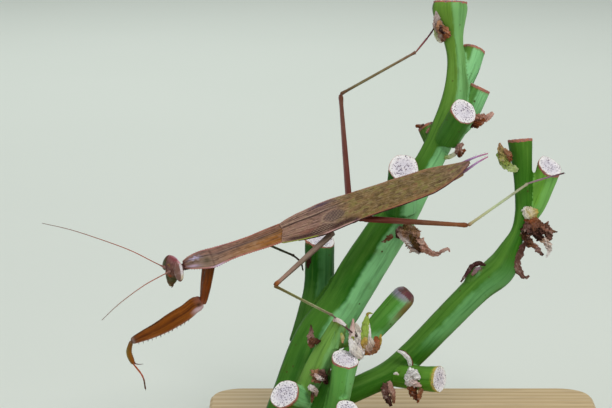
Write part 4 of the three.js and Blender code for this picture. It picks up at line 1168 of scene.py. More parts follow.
def wing_paint(side):
    def paint(p, where):
        back, across, under = where.T
        half = curve_through(WING["half"], back, 0.8)
        share = across / half * side
        olive = step(12.0, 19.0, back + 0.9 * wobble(across * 2.0, 3) + 1.5 * share)
        colour = stops(back, [(0, (164, 126, 108)), (6, (154, 118, 104)), (14, (138, 106, 98))])
        rear = stops(back, [(14, (136, 106, 72)), (26, (126, 104, 60)), (38, (120, 103, 60)),
                            (46, (124, 98, 76)), (50, (140, 104, 106))])
        colour = blend(colour, rear, olive)
        value, border = mosaic(back + 0.5 * across, across, 1.5, 0.62, 5 + side)
        fine, _ = mosaic(back, across + 0.1 * back, 0.62, 0.34, 8 + side)
        field = wobble(back * 0.33 + across * 0.9, 14, 6, 0.9)
        colour = blend(colour, (74, 56, 28), 0.62 * olive * step(0.62, 0.9, value + 0.12 * field))
        colour = blend(colour, (136, 134, 70), 0.5 * olive * step(0.34, 0.1, value + 0.1 * field))
        colour = blend(colour, (148, 104, 76), 0.5 * olive * hump(value, 0.48, 0.05))
        colour = blend(colour, (58, 44, 24), 0.42 * step(0.7, 0.95, fine))
        colour = blend(colour, (172, 146, 112), 0.34 * step(0.3, 0.06, fine))
        colour = blend(colour, (158, 132, 98), 0.4 * olive * step(0.12, 0.02, border))
        # lengthwise veins and the dark furrows between them
        run = share + 0.012 * wobble(back * 0.3, 3)
        dark_lines = lines_at(run, ((0.08, 0.5), (0.24, 0.9), (0.4, 0.6), (0.56, 0.8), (0.7, 0.9)), 0.022)
        pale_lines = lines_at(run, ((0.13, 0.7), (0.31, 0.8), (0.47, 0.7), (0.63, 0.8)), 0.03)
        broken = 0.55 + 0.45 * np.sin(back * 2.2 + 9 * share)
        colour = blend(colour, (46, 26, 34), 0.92 * (1 - 0.66 * olive) * dark_lines * broken)
        colour = blend(colour, (188, 156, 142), 0.6 * (1 - 0.6 * olive) * pale_lines * broken)
        lines = wobble(share * 11 + back * 0.03, 31 + side, 4, 2.2)
        colour = blend(colour, (70, 46, 48), 0.6 * (1 - olive) * step(0.2, 1.0, lines))
        if side > 0:
            strip = hump(share, 0.84, 0.13) * step(0.2, 3.0, back) * step(20, 17, back)
            strip = strip * (1 - 0.7 * hump(back, 10.5, 1.6))
            colour = blend(colour, (52, 24, 34), 0.97 * strip)
            rust = hump(share, 0.62, 0.1) * hump(back, 6.5, 3.0)
            colour = blend(colour, (136, 78, 66), 0.7 * rust)
            arc = hump(np.hypot((back - 13.4) / 3.0, (across - 1.0) / 1.5), 1.04, 0.1)
            colour = blend(colour, (190, 164, 138), 0.4 * arc * step(14.5, 12.5, back))
            edge = step(0.93, 0.985, share)
            colour = blend(colour, (160, 172, 68), 0.95 * edge * step(8.6, 7.4, back))
            colour = blend(colour, (216, 168, 168), 0.9 * edge * step(9, 10.5, back) * step(20, 18.5, back))
            colour = blend(colour, (52, 22, 44), hump(share, 0.93, 0.08) * hump(back, 18.4, 0.8))
        else:
            strip = hump(share, 0.8, 0.13) * hump(back, 11.2, 3.0)
            colour = blend(colour, (68, 44, 74), 0.95 * strip)
            top_line = hump(across, -0.9 - 0.12 * np.maximum(0, back - 9.6), 0.2) * step(-0.5, 1.0, back)
            colour = blend(colour, (48, 30, 36), 0.95 * top_line * step(18, 14, back))
            colour = blend(colour, (182, 156, 138), 0.6 * hump(across, -1.35, 0.14) * step(16, 13, back))
            second = hump(across, -2.0, 0.13) * step(1, 3, back) * step(14, 11, back)
            colour = blend(colour, (60, 40, 50), 0.7 * second)
        pinkish = step(0.93, 0.985, share) * (step(19.5, 22, back) if side > 0 else 1.0)
        margin = stops(back, [(0, (162, 82, 84)), (14, (170, 92, 88)), (24, (172, 106, 82)),
                              (44, (158, 92, 84)), (50, (140, 84, 104))])
        colour = blend(colour, margin, 0.85 * pinkish)
        colour = blend(colour, (164, 112, 78), 0.34 * step(0.66, 0.9, share) * step(22, 30, back))
        # painted shade: the underside is painted near-black for the dark shadow line under the wing's edge
        return blend(colour, (58, 38, 36), 0.9 * under)
    return paint


ROOT_SLANT = {"left": 1.25, "right": 0.25}
WING_COLUMNS = 64
WING_THICKNESS = 0.13
# how far the right wing lies under the left one's inner edge
WING_SINK = 0.16


def forewing(side, name):
    """One leathery forewing. The left one lies over the right one's inner edge."""
    backs = np.concatenate([np.linspace(0.1, 47, 300), np.linspace(47.1, 50, 40)])
    overlap = 0.55 if side > 0 else -0.05
    columns = np.linspace(0, 1, WING_COLUMNS) ** 0.92
    half = curve_through(WING["half"], backs, 0.8)
    middle = curve_through(WING["middle"], backs, 1.2)
    sink, slant = (0.0, ROOT_SLANT["left"]) if side > 0 else (WING_SINK, ROOT_SLANT["right"])
    tops, wheres = [], []
    for b, h, m in zip(backs, half, middle):
        inner = -overlap * step(0, 3, b) * step(50, 46, b)
        across = mix(inner, h, columns)
        share = across / h
        z = wing_top(b, across) - sink * step(1.2, 0.3, across)
        relief = 0
        for root, mid, end, strength in VEINS:
            at = np.interp(b, [0, 25, 50], [root, mid, end])
            relief = relief + 0.09 * strength * hump((share - at) * h, 0, 0.11) * step(50, 44, b)
        seam = 0.1 * hump(across, inner + 0.08, 0.1)
        cross = 0.022 * np.sin(b * 9 + 3 * np.sin(share * 9)) * step(0.1, 0.3, share) * step(50, 47, b)
        rim = 0.06 * step(0.93, 0.99, share)
        wave = 0.035 * wobble(b * 0.8 + share * 5, 17 + side) * step(0, 4, b)
        z = z + relief + seam + cross + rim + wave
        reach = -b + slant * share * step(7, 0, b)
        tops.append(np.stack([reach, m + side * across, z], 1))
        wheres.append(np.stack([share * 0 + b, side * across, share * 0], 1))
    tops, wheres = np.array(tops), np.array(wheres)
    below = tops.copy()
    below[:, :, 2] -= WING_THICKNESS
    under = wheres.copy()
    under[:, 1:-1, 2] = 1.0
    rows = np.concatenate([tops, below[:, ::-1]], 1)
    where = np.concatenate([wheres, under[:, ::-1]], 1)
    shape = Shape()
    shape.grid(rows, wing_paint(side), lie=where, where=where)
    shape.make(name + "_tegmen", wing_material(side), [name])


# two patches of fine lattice cells on the left wing: place, size and dark tone
LATTICE_PATCHES = ((13.6, 1.0, 3.0, 1.45, (46, 32, 48)), (9.6, 3.0, 3.4, 0.8, (48, 24, 30)))
LATTICE_WAVES = 9.0


def wing_material(side):
    name = "forewing_left" if side > 0 else "forewing_right"
    s = Surface(name, 0.46, Coat_Weight=0.06, Coat_Roughness=0.35)
    lie = s.attribute("lie")
    veins = s.noise(s.stretch(lie, (0.22, 3.6, 0)), 1.6, 5, 0.65)
    small = s.cells(s.stretch(lie, (1.6, 3.4, 0)), 1.3, "DISTANCE_TO_EDGE")
    blotch = s.noise(s.stretch(lie, (0.45, 0.9, 0)), 1.5, 5, 0.62)
    colour = s.attribute("paint")
    colour = s.mixed(s.remap(veins, 0.52, 0.66, 0, 0.5), colour, (54, 36, 28))
    colour = s.mixed(s.remap(veins, 0.45, 0.3, 0, 0.3), colour, (168, 142, 110))
    colour = s.mixed(s.remap(blotch, 0.55, 0.7, 0, 0.4), colour, (70, 54, 30))
    colour = s.mixed(s.remap(blotch, 0.42, 0.28, 0, 0.2), colour, (162, 140, 98))
    colour = s.mixed(s.remap(small, 0.05, 0.0, 0, 0.35), colour, (150, 120, 92))
    if side > 0:
        x, y, _ = s.add("ShaderNodeSeparateXYZ", [("Vector", lie)]).outputs
        x_wave, y_wave = (s.sums("MULTIPLY", axis, LATTICE_WAVES) for axis in (x, y))
        slants = [s.sums("SINE", s.sums(way, x_wave, y_wave)) for way in ("ADD", "SUBTRACT")]
        lattice = s.sums("MULTIPLY", *slants)
        for px, py, wide, deep, dark in LATTICE_PATCHES:
            dx = s.sums("DIVIDE", s.sums("SUBTRACT", x, px), wide)
            dy = s.sums("DIVIDE", s.sums("SUBTRACT", y, py), deep)
            away = s.sums("ADD", s.sums("MULTIPLY", dx, dx), s.sums("MULTIPLY", dy, dy))
            patch = s.remap(away, 1.0, 0.55)
            dark_cells = s.sums("MULTIPLY", patch, s.remap(lattice, -0.1, 0.3, 0.3, 0.95))
            pale_cells = s.sums("MULTIPLY", patch, s.remap(lattice, -0.2, -0.6, 0, 0.75))
            colour = s.mixed(dark_cells, colour, dark)
            colour = s.mixed(pale_cells, colour, (178, 154, 130))
    s.colour(colour)
    s.roughness(s.remap(blotch, 0.3, 0.7, 0.4, 0.6))
    s.bump(veins, 0.12 * MM, 0.6)
    s.bump(small, 0.1 * MM, 0.5)
    return s.material


def hindwings():
    """The folded hind wings: thin leaves whose edges and tip show past the forewings."""
    shape = Shape()
    for layer, (drop, inset, length) in enumerate(((0.3, -0.1, 49.6), (0.48, 0.4, 49.0), (0.64, 0.8, 48.0))):
        backs = np.linspace(3, length, 120)
        half = np.maximum(0.2, curve_through(WING["half"], backs, 0.8) - inset)
        middle = curve_through(WING["middle"], backs, 1.2)
        rows = []
        share = np.linspace(-1, 1, 30)
        for b, h, m in zip(backs, half, middle):
            near = min(h, curve_through(WING["half"], b, 0.8)) * np.abs(share)
            z = wing_top(b, near) - drop - 0.05 * share ** 2 + 0.02 * np.sin(share * 22 + layer)
            top = np.stack([share * 0 - b, m + share * h, z], 1)
            low = top - [0, 0, 0.06]
            rows.append(np.concatenate([top, low[::-1]]))
        shape.grid(rows, tone((0, (66, 40, 40)), (0.85, (72, 44, 44)), (1, (128, 92, 104))))
    shape.make("hind_wings", MATERIALS["abdomen"])


# ---------- trunk under the wings ----------
def trunk():
    sides = 72
    turn = np.linspace(0, 2 * np.pi, sides, endpoint=False)
    across, rise = np.cos(turn), np.sin(turn)

    def ring(x, half, deep, z, back_power, belly_power):
        height = np.where(rise >= 0, deep * (1 - np.abs(across) ** back_power),
                          -deep * (1 - np.abs(across) ** belly_power))
        return np.stack([np.full(sides, x), half * across, height + z], 1)

    def thorax_paint(p, where):
        colour = plain(p, (138, 98, 66))
        colour = blend(colour, (96, 64, 46), 0.6 * step(0.1, 0.9, wobble(p[:, 0] * 1.1 + p[:, 2], 4)))
        colour = blend(colour, (176, 138, 104), 0.4 * step(0.4, 1.0, wobble(p[:, 2] * 2.4 + p[:, 1], 9)))
        return blend(colour, (70, 46, 36), 0.7 * (hump(p[:, 0], -4.6, 0.18) + hump(p[:, 0], -13.2, 0.18)))

    shape = Shape()
    rows = []
    for t in np.linspace(0, 1, 110):
        x = mix(1.1, -17.4, t)
        fullness = 0.72 + 0.28 * np.sin(np.pi * min(1, t * 1.25)) ** 0.7 if t < 1 else 0.6
        fullness = fullness - 0.04 * (hump(x, -4.6, 0.25) + hump(x, -13.2, 0.25)) + 0.012 * wobble(x * 2, 3)
        if t in (0, 1):
            fullness = fullness * 0.85
        rows.append(ring(x, 2.72 * fullness, 2.1 * fullness, -2.0 + 0.5 * (1 - min(1, t * 3)), 2.4, 2.2))
    shape.grid(rows, thorax_paint)
    # side plates over the leg roots
    for side in (1, -1):
        for x in (-8.6, -14.2):
            for drop, size in ((-2.3, 1.5), (-3.1, 1.15)):
                path, share = smooth_run([[x + 1.6, side * 1.9, drop + 0.5], [x, side * 2.1, drop],
                                          [x - 1.4, side * 1.7, drop - 0.5]], 16)
                shape.tube(path, size * 0.42 * np.sin(np.pi * (0.12 + 0.76 * share)), thorax_paint,
                           flat=0.6, broad=(0, 0, 1), sides=18)
    shape.make("thorax_plates", MATERIALS["abdomen"], ["thorax"])

    def abdomen_paint(p, where):
        t = where[:, 0]
        ring_at = np.mod(t * 8, 1)
        colour = plain(p, (150, 112, 76))
        colour = blend(colour, (104, 72, 44), 0.6 * step(0.75, 1.0, ring_at))
        colour = blend(colour, (184, 152, 104), 0.5 * step(0.25, 0.0, ring_at))
        below = step(-0.2, -1.0, p[:, 2] + 1.9)
        return blend(colour, (128, 112, 60), 0.4 * below)

    shape = Shape()
    rows = []
    for t in np.linspace(0, 1, 260):
        s = min(t, 0.9999) * 8
        part = s - int(s)
        flare = 0.955 + 0.075 * part ** 1.4 - 0.05 * step(0.92, 1.0, part)
        if t <= 0.62:
            taper = 1.0
        else:
            taper = math.sqrt(max(0.03, 1 - ((t - 0.62) / 0.44) ** 2))
        fullness = min(1, 0.82 + t) * taper
        rows.append(ring(mix(-15.5, -47.5, t), 2.6 * fullness * flare, 1.95 * fullness * flare,
                         mix(-1.9, -1.4, t), 2.1, 2.2))
    shape.grid(rows, abdomen_paint)
    shape.make("abdomen_rings", MATERIALS["abdomen"], ["abdomen"])


def cercus(name, points):
    """A beaded, hairy tail feeler."""
    path, share = smooth_run(points, 150)
    beads = 13
    half = mix(0.42, 0.14, share) * (1 + 0.16 * np.abs(np.sin(np.pi * beads * share)) - 0.1)

    def paint(p, where):
        t = where[:, 0]
        colour = stops(t, [(0, (120, 84, 72)), (0.3, (138, 98, 128)), (0.6, (190, 150, 200)),
                           (1, (206, 110, 150))])
        return blend(colour, (72, 44, 72), 0.55 * (np.abs(np.sin(np.pi * beads * t)) < 0.3))

    shape = Shape()
    shape.tube(path, half, paint, sides=20)
    hairs = np.random.default_rng(11)
    for t in np.arange(0.1, 0.99, 0.03):
        at = path[int(t * (len(path) - 1))]
        way = unit(hairs.normal(size=3) + 1.1 * unit(path[-1] - path[0]))
        shape.cone(at + way * 0.1, at + way * 0.75, 0.025, (110, 70, 90), sides=4)
    shape.make(name + "_beads", MATERIALS["cercus"], [name])


# ---------- legs ----------
def tarsus(shape, points, size, paint):
    """Five segments, each thinner at its root, and a pair of claws."""
    path, share = smooth_run(points, 120)
    ends = (0, 0.4, 0.58, 0.72, 0.83, 1.0)
    inside = np.zeros(len(path))
    for a, b in zip(ends, ends[1:]):
        part = (share >= a) & (share <= b)
        inside[part] = (share[part] - a) / (b - a)
    half = size * (0.66 + 0.3 * inside ** 0.7) * (1 - 0.2 * share)
    shape.tube(path, half, paint, sides=16)
    way = unit(path[-1] - path[-8])
    _, wide, thin = frames_along(path[-4:], (0.2, 1.0, 0.3))
    for side in (1, -1):
        root = path[-1] - way * 0.1
        tip = root + way * 0.5 + wide[-1] * side * 0.3
        shape.cone(root, tip, 0.08, (46, 22, 24), bend=0.2, side=-thin[-1])


def spurs(shape, path, thin, length, spread, radius, colour):
    """The two small spurs at the far end of a femur or tibia."""
    for side in (1, -1):
        root = path[-4] + thin[-4] * spread[0] * side
        tip = path[-4] + thin[-4] * spread[1] * side + unit(path[-1] - path[-9]) * length
        shape.cone(root, tip, radius, colour, sides=6)


def walking_leg(leg, tones):
    points = LEGS[leg]

    coxa = Shape()
    path, share = smooth_run(points["coxa"], 30)
    coxa.tube(path, curve_through([[0, 0.8], [0.3, 1.05], [0.75, 0.95], [1, 0.7]], share, 0.1), tones["coxa"],
              sides=28, relief=lambda s, a: 1 + 0.05 * np.cos(3 * a))
    coxa.make(f"coxa_plate_{leg}", MATERIALS["leg"], [f"coxa_{leg}"])

    femur = Shape()
    path, share = smooth_run(points["femur"], 120)
    half = curve_through([[0, 0.6], [0.02, 0.78], [0.05, 0.7], [0.07, 0.8], [0.45, 0.69], [0.9, 0.5],
                          [0.93, 0.56], [0.965, 0.64], [0.99, 0.5], [1, 0.35]], share)

    def ridges(s, a):
        return 1 + (0.07 * np.cos(5 * a) + 0.03 * np.cos(10 * a)) * (s > 0.06) * (s < 0.93)

    femur.tube(path, half, tones["femur"], sides=30, relief=ridges)
    _, _, thin = carried_frames(path)
    spurs(femur, path, thin, 0.75, (0.4, 0.75), 0.13, (96, 56, 40))
    femur.make(f"femur_ridged_{leg}", MATERIALS["leg"], [f"femur_{leg}"])

    tibia = Shape()
    path, share = smooth_run(points["tibia"], 110)
    half = curve_through([[0, 0.36], [0.02, 0.46], [0.05, 0.4], [0.1, 0.34], [0.5, 0.33], [0.94, 0.31],
                          [0.98, 0.4], [1, 0.3]], share)
    tibia.tube(path, half, tones["tibia"], sides=22, relief=lambda s, a: 1 + 0.08 * np.cos(4 * a))
    _, wide, thin = carried_frames(path)
    hairs = np.random.default_rng(len(leg))
    for i in range(6, 106, 5 if leg.startswith("hind") else 7):
        spin = hairs.uniform(0, 6.28)
        out = wide[i] * math.cos(spin) + thin[i] * math.sin(spin)
        tip = path[i] + out * 0.62 + unit(path[-1] - path[0]) * 0.42
        tibia.cone(path[i] + out * 0.28, tip, 0.03, (120, 100, 70), sides=4)
    spurs(tibia, path, thin, 0.7, (0.25, 0.6), 0.09, (84, 52, 36))
    tibia.make(f"tibia_slim_{leg}", MATERIALS["shin"], [f"tibia_{leg}"])

    foot = Shape()
    tarsus(foot, points["tarsus"], 0.3, tones["tarsus"])
    foot.make(f"foot_{leg}", MATERIALS["leg"], [f"tarsus_{leg}"])


# the raptorial legs are held with their flat sides turned this way
BROADSIDE = (0.0, 0.45, 0.89)
FEMUR_DEPTH = 2.28
# rows of spines: how many, lean to the side, first and last place along the limb, and sizes
FEMUR_SPINES = ((13, 0.28, 0.26, 0.93, (0.34, 0.5)), (4, -0.36, 0.34, 0.8, (0.62, 0.62)))
TIBIA_SPINES = ((10, 0.3), (8, -0.3))


def foreleg(leg):
    points = LEGS[leg]
    trochanter, knee = (np.array(p) for p in points["femur"])
    ankle = np.array(points["tibia"][-1])
    back = unit(trochanter - knee)
    deep = ankle - knee
    deep = unit(deep - deep.dot(back) * back)
    broadside = np.cross(BROADSIDE, back)
    deep = unit(mix(deep, unit(broadside) * np.sign(broadside.dot(deep)), 0.62))
    flank = np.cross(back, deep)
    flank = flank * np.sign(flank.dot([0, 1, 0]))
    dark = (66, 24, 4)

    def coxa_paint(p, where):
        t, a = where[:, 0], where[:, 1]
        # darker at the root beside the shield: painted shadow
        colour = stops(t, [(0, (76, 36, 6)), (0.12, (106, 52, 8)), (0.5, (126, 58, 8)),
                           (0.85, (134, 66, 26)), (0.95, (150, 84, 62)), (1, (150, 92, 84))])
        lines = wobble(a * 3.0 + 0.8 * t, 12, 4, 2.0)
        colour = blend(colour, dark, 0.75 * step(0.1, 0.9, lines))
        edge = step(0.86, 0.98, np.cos(a - math.pi))
        return blend(colour, (206, 160, 138), 0.75 * edge)

    shape = Shape()
    path, share = smooth_run(points["coxa"], 90)
    half = curve_through([[0, 0.9], [0.08, 1.16], [0.3, 1.18], [0.6, 1.16], [0.8, 1.02], [0.93, 0.9],
                          [1, 0.7]], share, 0.05)
    shape.tube(path, half, coxa_paint, flat=0.85, broad=(1, 0, 0), sides=44,
               relief=lambda s, a: 1 + 0.05 * np.cos(3 * a) + 0.02 * np.cos(9 * a))
    for t in np.linspace(0.12, 0.88, 9):
        i = int(t * (len(path) - 1))
        root = path[i] + np.array([half[i] * 0.92, 0, 0])
        shape.cone(root, root + np.array([0.26, 0.1, -0.1]), 0.1, (170, 110, 80), sides=6)
    shape.make(f"coxa_plate_{leg}", MATERIALS["foreleg"], [f"coxa_{leg}"])

    def femur_paint(p, where):
        t, a = where[:, 0], where[:, 1]
        belly = np.cos(a)
        colour = stops(t, [(0, (158, 108, 104)), (0.06, (152, 92, 72)), (0.12, (134, 72, 18)),
                           (0.6, (130, 70, 16)), (0.9, (122, 64, 22)), (1, (92, 62, 48))])
        lines = wobble(a * 2.6 + 0.5 * t, 23, 4, 2.0)
        colour = blend(colour, dark, 0.7 * step(0.05, 0.8, lines) * step(0.06, 0.14, t))
        colour = blend(colour, (74, 40, 14), 0.75 * step(-0.72, -0.93, belly) * step(0.3, 0.7, t))
        under = step(0.62, 0.95, belly) * step(0.02, 0.1, t)
        colour = blend(colour, (196, 128, 104), 0.65 * under)
        root = step(0.1, 0.5, belly) * step(0.24, 0.1, t)
        colour = blend(colour, (222, 190, 200), 0.9 * root)
        gap = hump(belly, 0.0, 0.3) * hump(t, 0.06, 0.04)
        colour = blend(colour, (34, 24, 12), 0.9 * gap)
        band = hump(t, 0.975, 0.018)
        return blend(colour, (150, 128, 120), 0.6 * band)

    shape = Shape()
    path, share = smooth_run(points["femur"], 150)
    last = len(path) - 1
    path = path + deep * (0.42 * hump(share, 0.64, 0.26) - 0.62 * hump(share, 0.1, 0.1))[:, None]
    half = FEMUR_DEPTH * curve_through(
        [[0, 0.5], [0.015, 0.64], [0.04, 0.84], [0.08, 0.88], [0.17, 0.88], [0.33, 0.92], [0.48, 0.9],
         [0.63, 0.78], [0.8, 0.64], [0.9, 0.52], [0.96, 0.44], [0.985, 0.38], [1, 0.22]], share, 0.01)

    def ribs(s, a):
        return 1 + (0.03 * np.cos(8 * a) + 0.012 * np.cos(16 * a + 1)) * (s > 0.08) * (s < 0.95)

    shape.tube(path, half, femur_paint, flat=0.47, broad=deep, sides=64, relief=ribs)
    # two rows of spines along the closing edge, and four long ones between
    for count, lean, first, end, sizes in FEMUR_SPINES:
        for k in range(count):
            i = int(mix(first, end, k / (count - 1)) * last)
            root = path[i] + deep * half[i] * 0.93 + flank * lean
            tip = root + deep * (sizes[k % 2] + 0.16) + flank * lean * 0.5 - back * 0.25
            shape.cone(root, tip, 0.1, (96, 56, 34), bend=0.12, side=back)
    for k in range(4):
        i = int(mix(0.24, 0.42, k / 3) * last)
        root = path[i] + deep * half[i] * 0.88 - flank * 0.15
        shape.cone(root, root + deep * (0.62 + 0.2 * (k == 2)) - back * 0.3, 0.12, (64, 32, 24))
    shape.make(f"femur_spined_{leg}", MATERIALS["foreleg"], [f"femur_{leg}"])

    def tibia_paint(p, where):
        t, a = where[:, 0], where[:, 1]
        colour = stops(t, [(0, (120, 88, 66)), (0.1, (128, 84, 34)), (0.5, (152, 96, 20)),
                           (1, (150, 80, 24))])
        green = step(0.2, 0.9, np.cos(a - math.pi)) * step(0.1, 0.4, t)
        colour = blend(colour, (112, 118, 48), 0.55 * green)
        return blend(colour, dark, 0.5 * step(0.4, 1.0, wobble(a * 2.4, 41, 3, 2.0)))

    shape = Shape()
    path, share = smooth_run(points["tibia"], 80)
    half = curve_through([[0, 0.42], [0.05, 0.56], [0.12, 0.62], [0.4, 0.72], [0.8, 0.68], [0.95, 0.52],
                          [1, 0.38]], share, 0.02)
    shape.tube(path, half, tibia_paint, flat=0.75, broad=back, sides=36,
               relief=lambda s, a: 1 + 0.04 * np.cos(6 * a))
    along = unit(ankle - knee)
    for count, lean in TIBIA_SPINES:
        for k in range(count):
            t = mix(0.14, 0.95, k / (count - 1))
            i = int(t * (len(path) - 1))
            root = path[i] + back * half[i] * 0.85 + flank * lean * 0.7
            tip = root + back * mix(0.18, 0.34, t) + flank * lean * 0.5 + along * 0.3
            shape.cone(root, tip, 0.07, (120, 66, 34))
    reach = unit(back * 0.86 + deep * 0.52)
    claw, t = smooth_run([ankle - along * 0.9 + back * 0.1, ankle - along * 0.1 + reach * 0.5,
                          ankle + along * 0.16 + reach * 1.5, ankle - along * 0.02 + reach * 2.7], 40)
    claw_paint = tone((0, (150, 88, 34)), (0.35, (120, 60, 44)), (0.6, (92, 30, 54)), (1, (40, 14, 24)))
    shape.tube(claw, mix(0.3, 0.04, t ** 0.6), claw_paint, sides=18)
    shape.make(f"tibia_hooked_{leg}", MATERIALS["foreleg"], [f"tibia_{leg}"])

    shape = Shape()
    tarsus(shape, points["tarsus"], 0.27, tone(
        (0, (176, 92, 46)), (0.35, (190, 92, 60)), (0.55, (180, 84, 62)), (0.68, (110, 64, 44)),
        (0.85, (74, 52, 34)), (1, (90, 40, 36))))
    shape.make(f"foot_{leg}", MATERIALS["foreleg"], [f"tarsus_{leg}"])


head_capsule()
compound_eye(1, "eye_near", eye_material("eye_cream", (214, 180, 180), (96, 60, 60)), (124, 88, 78),
             (138, 86, 82), (255, 248, 255), (250, 232, 206), (112, 58, 58))
compound_eye(-1, "eye_far", eye_material("eye_green", (108, 98, 66), (40, 34, 20)), (72, 72, 34),
             (104, 42, 38), (84, 88, 50), (84, 72, 40), (96, 40, 34))
feeding_parts()
feeler("antenna_left", [[29.39, 2.1, 5.2], [32.1, 3.5, 7.2], [35.6, 6.3, 11.4], [39.3, 9.5, 15.4],
                        [43.2, 13, 19.2], [47.3, 17, 22.8]])
feeler("antenna_right", [[30.22, 0.51, 4.56], [32.3, -1.1, 6.2], [37, -5.1, 9.3], [42.9, -8.7, 13.4],
                         [48.9, -12, 17.3], [54.7, -14.9, 19.9]])
neck_membrane()
shield()
forewing(-1, "wing_right")
forewing(1, "wing_left")
hindwings()
trunk()
cercus("cercus_left", [[-46.2, 0.9, -1.5], [-49, 0.2, -1.2], [-52, -0.5, -0.9], [-54.8, -0.9, -0.7]])
cercus("cercus_right", [[-46.2, -1.5, -1.4], [-49, -1.9, -1.0], [-52, -2.0, -0.8], [-55.1, -1.8, -0.8]])
foreleg("front_right")
foreleg("front_left")
walking_leg("middle_left", {
    "coxa": tone((0, (120, 86, 66)), (1, (110, 78, 66))),
    "femur": tone((0, (128, 104, 92)), (0.5, (144, 122, 108)), (0.9, (160, 126, 112)), (0.95, (154, 90, 44)),
                  (1, (120, 66, 30)), ridge=(64, 44, 42), ridge_at=2.6),
    "tibia": tone((0, (132, 88, 40)), (0.08, (120, 104, 56)), (0.3, (142, 142, 84)), (0.7, (178, 182, 140)),
                  (1, (150, 128, 112)), ridge=(84, 74, 44), ridge_at=4.4),
    "tarsus": tone((0, (128, 100, 96)), (0.4, (96, 66, 66)), (1, (72, 44, 48)))})
# the far middle leg lies under the body: its much darker tones are painted shade
walking_leg("middle_right", {
    "coxa": tone((0, (110, 80, 60)), (1, (96, 70, 50))),
    "femur": tone((0, (100, 76, 56)), (0.6, (84, 74, 48)), (1, (80, 52, 40))),
    "tibia": tone((0, (50, 44, 30)), (0.3, (60, 62, 38)), (1, (48, 36, 30))),
    "tarsus": tone((0, (52, 34, 30)), (1, (30, 20, 22)))})
walking_leg("hind_left", {
    "coxa": tone((0, (110, 66, 50)), (1, (96, 52, 40))),
    "femur": tone((0, (104, 38, 30)), (0.3, (104, 50, 40)), (0.6, (112, 72, 52)), (0.9, (140, 86, 52)),
                  (1, (120, 66, 36)), ridge=(150, 110, 100), ridge_at=1.2, amount=0.5),
    "tibia": tone((0, (150, 112, 80)), (0.06, (186, 178, 132)), (0.5, (190, 204, 160)), (1, (170, 160, 140))),
    "tarsus": tone((0, (160, 132, 138)), (0.5, (140, 112, 124)), (1, (84, 56, 62)))})
walking_leg("hind_right", {
    "coxa": tone((0, (110, 66, 50)), (1, (96, 52, 46))),
    "femur": tone((0, (106, 52, 46)), (0.5, (110, 62, 54)), (0.92, (110, 70, 58)), (1, (96, 56, 40)),
                  ridge=(158, 116, 116), ridge_at=0.2),
    "tibia": tone((0, (96, 62, 44)), (0.2, (112, 100, 66)), (0.7, (130, 112, 80)), (1, (120, 80, 66))),
    "tarsus": tone((0, (150, 86, 78)), (0.5, (110, 62, 76)), (1, (60, 36, 52)))})


# ---------- dried bracts on the perch ----------
def dry_material():
    s = Surface("dried_bract", 0.75)
    grain = s.noise(s.coords, 700.0, 5, 0.65)
    veins = s.noise(s.stretch(s.attribute("lie"), (0.3, 3.0, 3.0)), 2.0, 4, 0.6)
    colour = s.attribute("paint")
    colour = s.mixed(s.remap(grain, 0.56, 0.7, 0, 0.55), colour, (78, 46, 36))
    colour = s.mixed(s.remap(grain, 0.44, 0.28, 0, 0.5), colour, (232, 214, 204))
    colour = s.mixed(s.remap(veins, 0.56, 0.7, 0, 0.5), colour, (96, 62, 48))
    s.colour(colour)
    s.bump(grain, 0.3 * MM, 0.9)
    s.bump(veins, 0.2 * MM, 0.8)
    return s.material


DRY = dry_material()


BRACT_FACING = (0, -1, 0.3)
BRACT_ROWS = 56
BRACT_COLUMNS = 19
BRACT_CURL = 0.5
BRACT_THICKNESS = 0.14


def bract(shape, points, widths, base, tip, crumple, seed):
    """A dry, crumpled strip: a thin closed sheet along a path, folded and curled across its width."""
    path, share = smooth_run(points, BRACT_ROWS)
    _, wide, out = frames_along(path, np.cross(unit(path[-1] - path[0]), unit(BRACT_FACING)))
    half = curve_through([[i / (len(widths) - 1), w] for i, w in enumerate(widths)], share, 0.08)
    across = np.linspace(-1, 1, BRACT_COLUMNS)
    rows = []
    for i, t in enumerate(share):
        ragged = 1 + 0.22 * crumple * wobble(np.sign(across) * 5 + t * 30, seed + 1, 5, 1.2)
        folds = 0.42 * crumple * half[i] * wobble(t * 13 + across * 5.5, seed, 5, 1.1)
        folds = folds + 0.2 * crumple * half[i] * wobble(t * 34 - across * 9, seed + 2, 4, 1.0)
        shift = 0.25 * crumple * half[i] * wobble(t * 17 + across * 2, seed + 4, 4, 1.0)
        lift = BRACT_CURL * half[i] * across ** 2 + folds
        spin = 0.7 * crumple * math.sin(t * 5 + seed)
        sideways = wide[i] * math.cos(spin) + out[i] * math.sin(spin)
        outward = out[i] * math.cos(spin) - wide[i] * math.sin(spin)
        top = path[i] + sideways * (across * half[i] * ragged + shift)[:, None] + outward * lift[:, None]
        rows.append(np.concatenate([top, (top - outward * BRACT_THICKNESS)[::-1]]))

    def paint(p, where):
        t, turn, _ = where.T
        colour = stops(t, [(0, base), (1, tip)])
        patch = wobble(t * 14 + turn * 2, seed + 3)
        colour = blend(colour, tip, 0.6 * step(0.2, 0.9, patch))
        return blend(colour, DARK, 0.4 * crumple * step(0.45, 1.0, -patch))

    shape.grid(rows, paint)


BROWN, TAN, PINK_DRY, MAUVE_DRY = (142, 94, 66), (196, 150, 116), (218, 174, 162), (140, 100, 90)
WHITE, PALE, GREY, DARK = (250, 246, 246), (232, 220, 206), (200, 184, 180), (66, 36, 28)
OLIVE, LIME, YELLOW, RUST = (112, 88, 40), (160, 186, 84), (200, 176, 84), (158, 84, 44)

